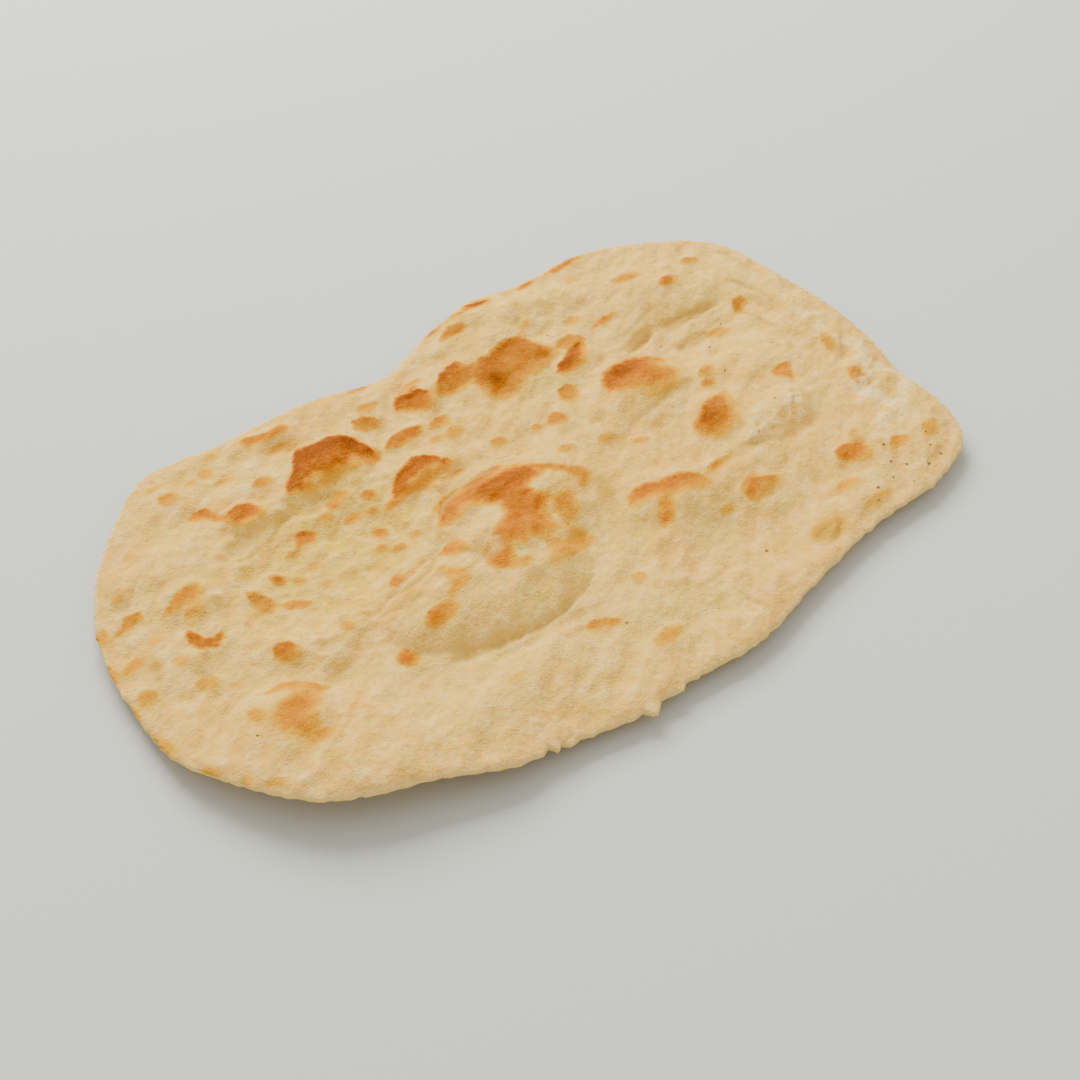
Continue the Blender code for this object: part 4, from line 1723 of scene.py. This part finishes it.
@dataclass(frozen=True)
class Browning:
    """What is painted on the crust: browned areas, the thin crust's yellow, char, flour and sheen,
    crease shade, rim.

    Lengths are in millimetres. Sharpness is how abruptly one browned area gives way to the
    next, and the limits are how far inside or outside it an area can still count for more.
    Each browned area's weight also grows with its depth, from least_weight up, and trace keeps
    the sums above zero.
    """

    spots: Browned = BROWNING
    tints: tuple[Tint, ...] = BROWNING_TINTS
    creases: tuple[Crease, ...] = CREASES
    specks: tuple[tuple[float, float, float], ...] = CHAR_SPECKS
    # White flour on the right end, which also stands for painted sheen on its crinkles, and a small
    # painted highlight on the big bubble's top.
    dustings_and_sheen: tuple[Mound, ...] = (
        Mound(132, -62, 20, 14, 30, 1.0),
        Mound(120, -72, 12, 8, 10, 0.9),
        Mound(146, -44, 16, 7, 50, 0.8),
        Mound(156, -10, 26, 7, 76, 0.6),
        Mound(102, -40, 12, 6, 40, 0.7),
        Mound(86, -37, 20, 9, 14, 0.32),
        Mound(-45, -14, 10, 6, 0, 0.4),
    )
    dusting_softness: float = 0.5
    thin_crust: Mound = Mound(-85, 25, 60, 42, 12, 1.2)
    sharpness: float = 1.6
    edge_limit: float = 9.0
    weight_limit: float = 1.0
    least_weight: float = 0.03
    trace: float = 1e-9
    rim_width: float = 16.0
    rim_power: float = 1.5
    lip_width: float = 1.6

    def values(self, at: Points) -> dict[Painted, np.ndarray]:
        """Paint everything on the crust's points.

        Args:
            at: The crust's points.

        Returns:
            The painted values for each point.
        """
        thin = self.thin_crust.height * (1.0 - self.thin_crust.reach(at.x, at.y))
        char, flour, crease = np.zeros(at.x.shape), np.zeros(at.x.shape), np.zeros(at.x.shape)
        for speck_x, speck_y, size in self.specks:
            gap = np.hypot(at.plan_x - speck_x, at.plan_y - speck_y)
            char = np.maximum(char, np.exp(-((gap / size) ** 2)))
        for dusting_and_sheen in self.dustings_and_sheen:
            dusted = dusting_and_sheen.over(at.plan_x, at.plan_y, self.dusting_softness)
            flour = np.maximum(flour, dusted)
        # Olive painted shade along the creases, partly their own staining.
        for line in self.creases:
            crease = np.maximum(crease, line.stain_and_shade * line.share(at.plan_x, at.plan_y))
        return {
            **self.browned(at),
            Painted.THIN: np.clip(thin, 0.0, 1.0),
            Painted.CHAR: char,
            Painted.FLOUR_AND_SHEEN: flour,
            Painted.CREASE_SHADE: crease,
            Painted.RIM: np.clip(1.0 - at.rim / self.rim_width, 0.0, 1.0) ** self.rim_power,
            Painted.LIP: np.clip(1.0 - at.rim / self.lip_width, 0.0, 1.0),
        }

    def browned(self, at: Points) -> dict[Painted, np.ndarray]:
        """Blend the browned areas into one, and tint it.

        Args:
            at: The crust's points.

        Returns:
            The blended edge, softness, depth and gold.
        """
        shape = at.x.shape
        nearness, total = np.full(shape, self.trace), np.full(shape, self.trace)
        soft, depth, gold = np.zeros(shape), np.zeros(shape), np.zeros(shape)
        for spot in self.spots:
            paint = spot.paint(at.plan_x, at.plan_y)
            inside = np.clip(paint.edge, -self.edge_limit, self.edge_limit)
            nearness += np.exp(self.sharpness * inside)
            inside = np.clip(paint.edge, -self.edge_limit, self.weight_limit)
            weight = np.exp(self.sharpness * inside) * (self.least_weight + paint.depth**2)
            total += weight
            soft += weight * paint.soft
            depth += weight * paint.depth
            gold += weight * paint.gold
        soft, depth, gold = soft / total, depth / total, gold / total
        for tint in self.tints:
            share = tint.share(at.plan_x, at.plan_y)
            depth = depth + tint.deeper * share
            gold = gold + tint.golder * share
        return {
            Painted.EDGE: np.log(nearness) / self.sharpness,
            Painted.SOFT: soft,
            Painted.DEPTH: depth,
            Painted.GOLD: np.clip(gold, 0.0, 1.0),
        }


@dataclass(frozen=True)
class TornRim:
    """The rim's fine raggedness all round, and the torn tabs and notches of its near side."""

    tears: tuple[Tear, ...] = TEARS
    direction: Place = (-0.25, -0.97)
    raggedness: float = 0.24
    fade_width: float = 2.0
    ripples_along: Ripples = Ripples(21, 5.0)
    ripples_across: Ripples = Ripples(22, 4.5)

    def roughened(self, plan: np.ndarray, rim: np.ndarray) -> np.ndarray:
        """Roughen the rim and pull out its tabs.

        Args:
            plan: Plan positions of the grid points, in millimetres.
            rim: Their distances from the smooth outline.

        Returns:
            The roughened plan positions.
        """
        x, y = plan[..., 0], plan[..., 1]
        pull = sum(tear.pull(x, y) for tear in self.tears)
        fade = self.raggedness * np.exp(-rim / self.fade_width)
        shift_x = self.direction[0] * pull + fade * self.ripples_along.over(x, y)
        shift_y = self.direction[1] * pull + fade * self.ripples_across.over(x, y)
        return np.stack((x + shift_x, y + shift_y), axis=-1)


# ---------------------------------------------------------------------------
# The sheet
# ---------------------------------------------------------------------------


@dataclass
class Sheet:
    """The whole lavash as one fine closed mesh, with its browning painted on its points.

    Rim rows are the widths in millimetres of the narrow rows of cells along every side. The
    lower face has one cell for every lower_step cells of the upper face, each way.
    """

    outline: Outline = field(default_factory=Outline)
    form: SheetForm = field(default_factory=SheetForm)
    slant: SlantedPlan = field(default_factory=SlantedPlan)
    relief: Relief = field(default_factory=Relief)
    browning: Browning = field(default_factory=Browning)
    torn_rim: TornRim = field(default_factory=TornRim)
    finish: CrustFinish = field(default_factory=CrustFinish)
    cells_along: int = 384
    cells_across: int = 228
    lower_step: int = 3
    rim_rows: tuple[float, ...] = (0.5, 0.6, 0.8, 1.0)

    def build(self) -> bpy.types.Object:
        """Make the sheet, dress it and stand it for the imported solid.

        Returns:
            The sheet's object.
        """
        plan = self.stretched_grid()
        x, y = plan[..., 0], plan[..., 1]
        rim = self.outline.rim_distance(x, y)
        lower, upper = self.form.faces(x, y, rim)
        upper = self.relief.evened_out(x, y, upper)
        upper = upper + self.relief.heights(Points(x, y, rim, *self.slant.places(x, y, upper)))
        values = self.browning.values(Points(x, y, rim, *self.slant.places(x, y, upper)))
        centre = (plan.min(axis=(0, 1)) + plan.max(axis=(0, 1))) / 2.0
        plan = self.torn_rim.roughened(plan, rim) - centre
        mesh = self.solid_mesh(plan, lower, upper, values)
        sheet = bpy.data.objects.new(SHEET_NAME, mesh)
        bpy.context.scene.collection.objects.link(sheet)
        mesh.materials.append(self.finish.material())
        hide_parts(NODE)
        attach(sheet, "root")
        return sheet

    def row_fractions(self, cells: int, length: float) -> np.ndarray:
        """Space the grid lines, with narrow rows at both ends.

        Args:
            cells: How many cells the grid has that way.
            length: How long the sheet is that way, in millimetres.

        Returns:
            The lines' places, from 0 to 1.
        """
        inner_cells = cells - 2 * len(self.rim_rows)
        inner = (length - 2.0 * sum(self.rim_rows)) / inner_cells
        widths = self.rim_rows + (inner,) * inner_cells + self.rim_rows[::-1]
        return np.concatenate(([0.0], np.cumsum(widths))) / length

    def stretched_grid(self) -> np.ndarray:
        """Stretch a grid between the outline's four sides.

        Returns:
            Plan positions of the grid points, in millimetres, in rows from near to far.
        """
        left, far, right, near = self.outline.sides()
        points = np.concatenate((left, far, right, near))
        across = self.row_fractions(self.cells_across, np.ptp(points[:, 1]))
        lengthwise = self.row_fractions(self.cells_along, np.ptp(points[:, 0]))
        u = lengthwise[None, :, None]
        v = across[:, None, None]
        corners = (
            (1.0 - u) * (1.0 - v) * left[0]
            + (1.0 - u) * v * left[-1]
            + u * (1.0 - v) * right[-1]
            + u * v * right[0]
        )
        across_sides = (1.0 - u) * points_along(left, across)[:, None]
        across_sides = across_sides + u * points_along(right[::-1], across)[:, None]
        along_sides = (1.0 - v) * points_along(near[::-1], lengthwise)[None]
        along_sides = along_sides + v * points_along(far, lengthwise)[None]
        return across_sides + along_sides - corners

    def solid_mesh(
        self,
        plan: np.ndarray,
        lower: np.ndarray,
        upper: np.ndarray,
        values: dict[Painted, np.ndarray],
    ) -> bpy.types.Mesh:
        """Join a fine upper grid and a coarser lower one along the rim, and give them their form.

        Args:
            plan: Plan positions of the grid points, in millimetres.
            lower: Heights of the lower face.
            upper: Heights of the upper face.
            values: Painted values of the upper face.

        Returns:
            One closed mesh, in metres.
        """
        rows, columns = lower.shape
        mesh = self.flat_shell(rows, columns)
        unit = np.empty(len(mesh.vertices) * 3)
        mesh.vertices.foreach_get("co", unit)
        unit = unit.reshape(-1, 3)
        column = np.rint((unit[:, 0] + 1.0) / 2.0 * (columns - 1)).astype(int)
        row = np.rint((unit[:, 1] + 1.0) / 2.0 * (rows - 1)).astype(int)
        is_upper = unit[:, 2] > 0.5
        height = np.where(is_upper, upper[row, column], lower[row, column])
        place = np.column_stack((plan[row, column], height)) * MM
        mesh.vertices.foreach_set("co", place.ravel())
        for name, grid in values.items():
            paint = mesh.attributes.new(name.value, "FLOAT", "POINT")
            below = grid[row, column] if name in PAINTED_BELOW else 0.0
            paint.data.foreach_set("value", np.where(is_upper, grid[row, column], below))
        mesh.shade_smooth()
        mesh.update()
        return mesh

    def flat_shell(self, rows: int, columns: int) -> bpy.types.Mesh:
        """Make a closed shell of two square grids, from -1 to 1 each way.

        Args:
            rows: How many rows of points the upper grid has.
            columns: How many points there are in each.

        Returns:
            The shell, with the lower grid at height 0 and the upper one at height 1.
        """
        shell = bmesh.new()
        for level, step in ((0.0, self.lower_step), (1.0, 1)):
            bmesh.ops.create_grid(
                shell,
                x_segments=(columns - 1) // step,
                y_segments=(rows - 1) // step,
                size=1.0,
                matrix=Matrix.Translation((0.0, 0.0, level)),
            )
        rims = [edge for edge in shell.edges if edge.is_boundary]
        bmesh.ops.bridge_loops(shell, edges=rims)
        bmesh.ops.recalc_face_normals(shell, faces=shell.faces[:])
        mesh = bpy.data.meshes.new(SHEET_NAME)
        shell.to_mesh(mesh)
        shell.free()
        return mesh


# ---------------------------------------------------------------------------
# Studio
# ---------------------------------------------------------------------------


@dataclass(frozen=True)
class SoftLight:
    """One square soft light that shines at the sheet: place and side in metres, power in watts."""

    name: str
    place: tuple[float, float, float]
    size: float
    power: float

    def hang(self) -> None:
        """Hang the light."""
        lamp = bpy.data.lights.new(self.name, "AREA")
        lamp.size = self.size
        lamp.energy = self.power
        light = bpy.data.objects.new(self.name, lamp)
        light.location = self.place
        light.rotation_euler = (-Vector(self.place)).to_track_quat("-Z", "Y").to_euler()
        bpy.context.scene.collection.objects.link(light)


@dataclass
class Studio:
    """A plain pale floor, soft light from behind on the left, and the camera.

    Lengths are in metres and angles in degrees. The camera's lens is in millimetres.
    """

    floor_size: float = 6.0
    floor_finish: FloorFinish = field(default_factory=FloorFinish)
    light: SoftLight = SoftLight("window", (0.50, 1.20, 1.20), 1.2, 58.0)
    surround: Colour = (1.0, 1.0, 1.0, 1.0)
    surround_strength: float = 0.9
    camera_place: tuple[float, float, float] = (-0.3803, -0.3547, 0.4272)
    heading: float = 47.0
    pitch: float = 40.7
    lens: float = 60.0
    sensor_width: float = 36.0

    def build(self) -> None:
        """Make the floor, the surround, the light and the camera."""
        self.make_floor()
        self.make_world()
        self.light.hang()
        self.make_camera()

    def make_floor(self) -> None:
        """Lay the plain floor that the sheet rests on."""
        bpy.ops.mesh.primitive_plane_add(size=self.floor_size)
        floor = bpy.context.object
        floor.name = "floor"
        floor.data.materials.append(self.floor_finish.material())

    def make_world(self) -> None:
        """Surround the scene with an even pale light."""
        world = bpy.data.worlds.new("soft_room")
        world.use_nodes = True
        background = world.node_tree.nodes["Background"]
        background.inputs["Color"].default_value = self.surround
        background.inputs["Strength"].default_value = self.surround_strength
        bpy.context.scene.world = world

    def make_camera(self) -> None:
        """Set the camera where the sheet is looked at from."""
        lens = bpy.data.cameras.new("camera")
        lens.lens = self.lens
        lens.sensor_width = self.sensor_width
        camera = bpy.data.objects.new("camera", lens)
        camera.location = self.camera_place
        camera.rotation_euler = (math.radians(90.0 - self.pitch), 0.0, math.radians(-self.heading))
        bpy.context.scene.collection.objects.link(camera)
        bpy.context.scene.camera = camera


def main() -> None:
    """Build the sheet and the studio, and report each piece."""
    logging.basicConfig(level=logging.INFO, format="%(name)s: %(message)s")
    sheet = Sheet().build()
    log.info("%s: %d faces", sheet.name, len(sheet.data.polygons))
    Studio().build()
    log.info("studio: floor, world, light and camera")


if __name__ == "__main__":
    main()
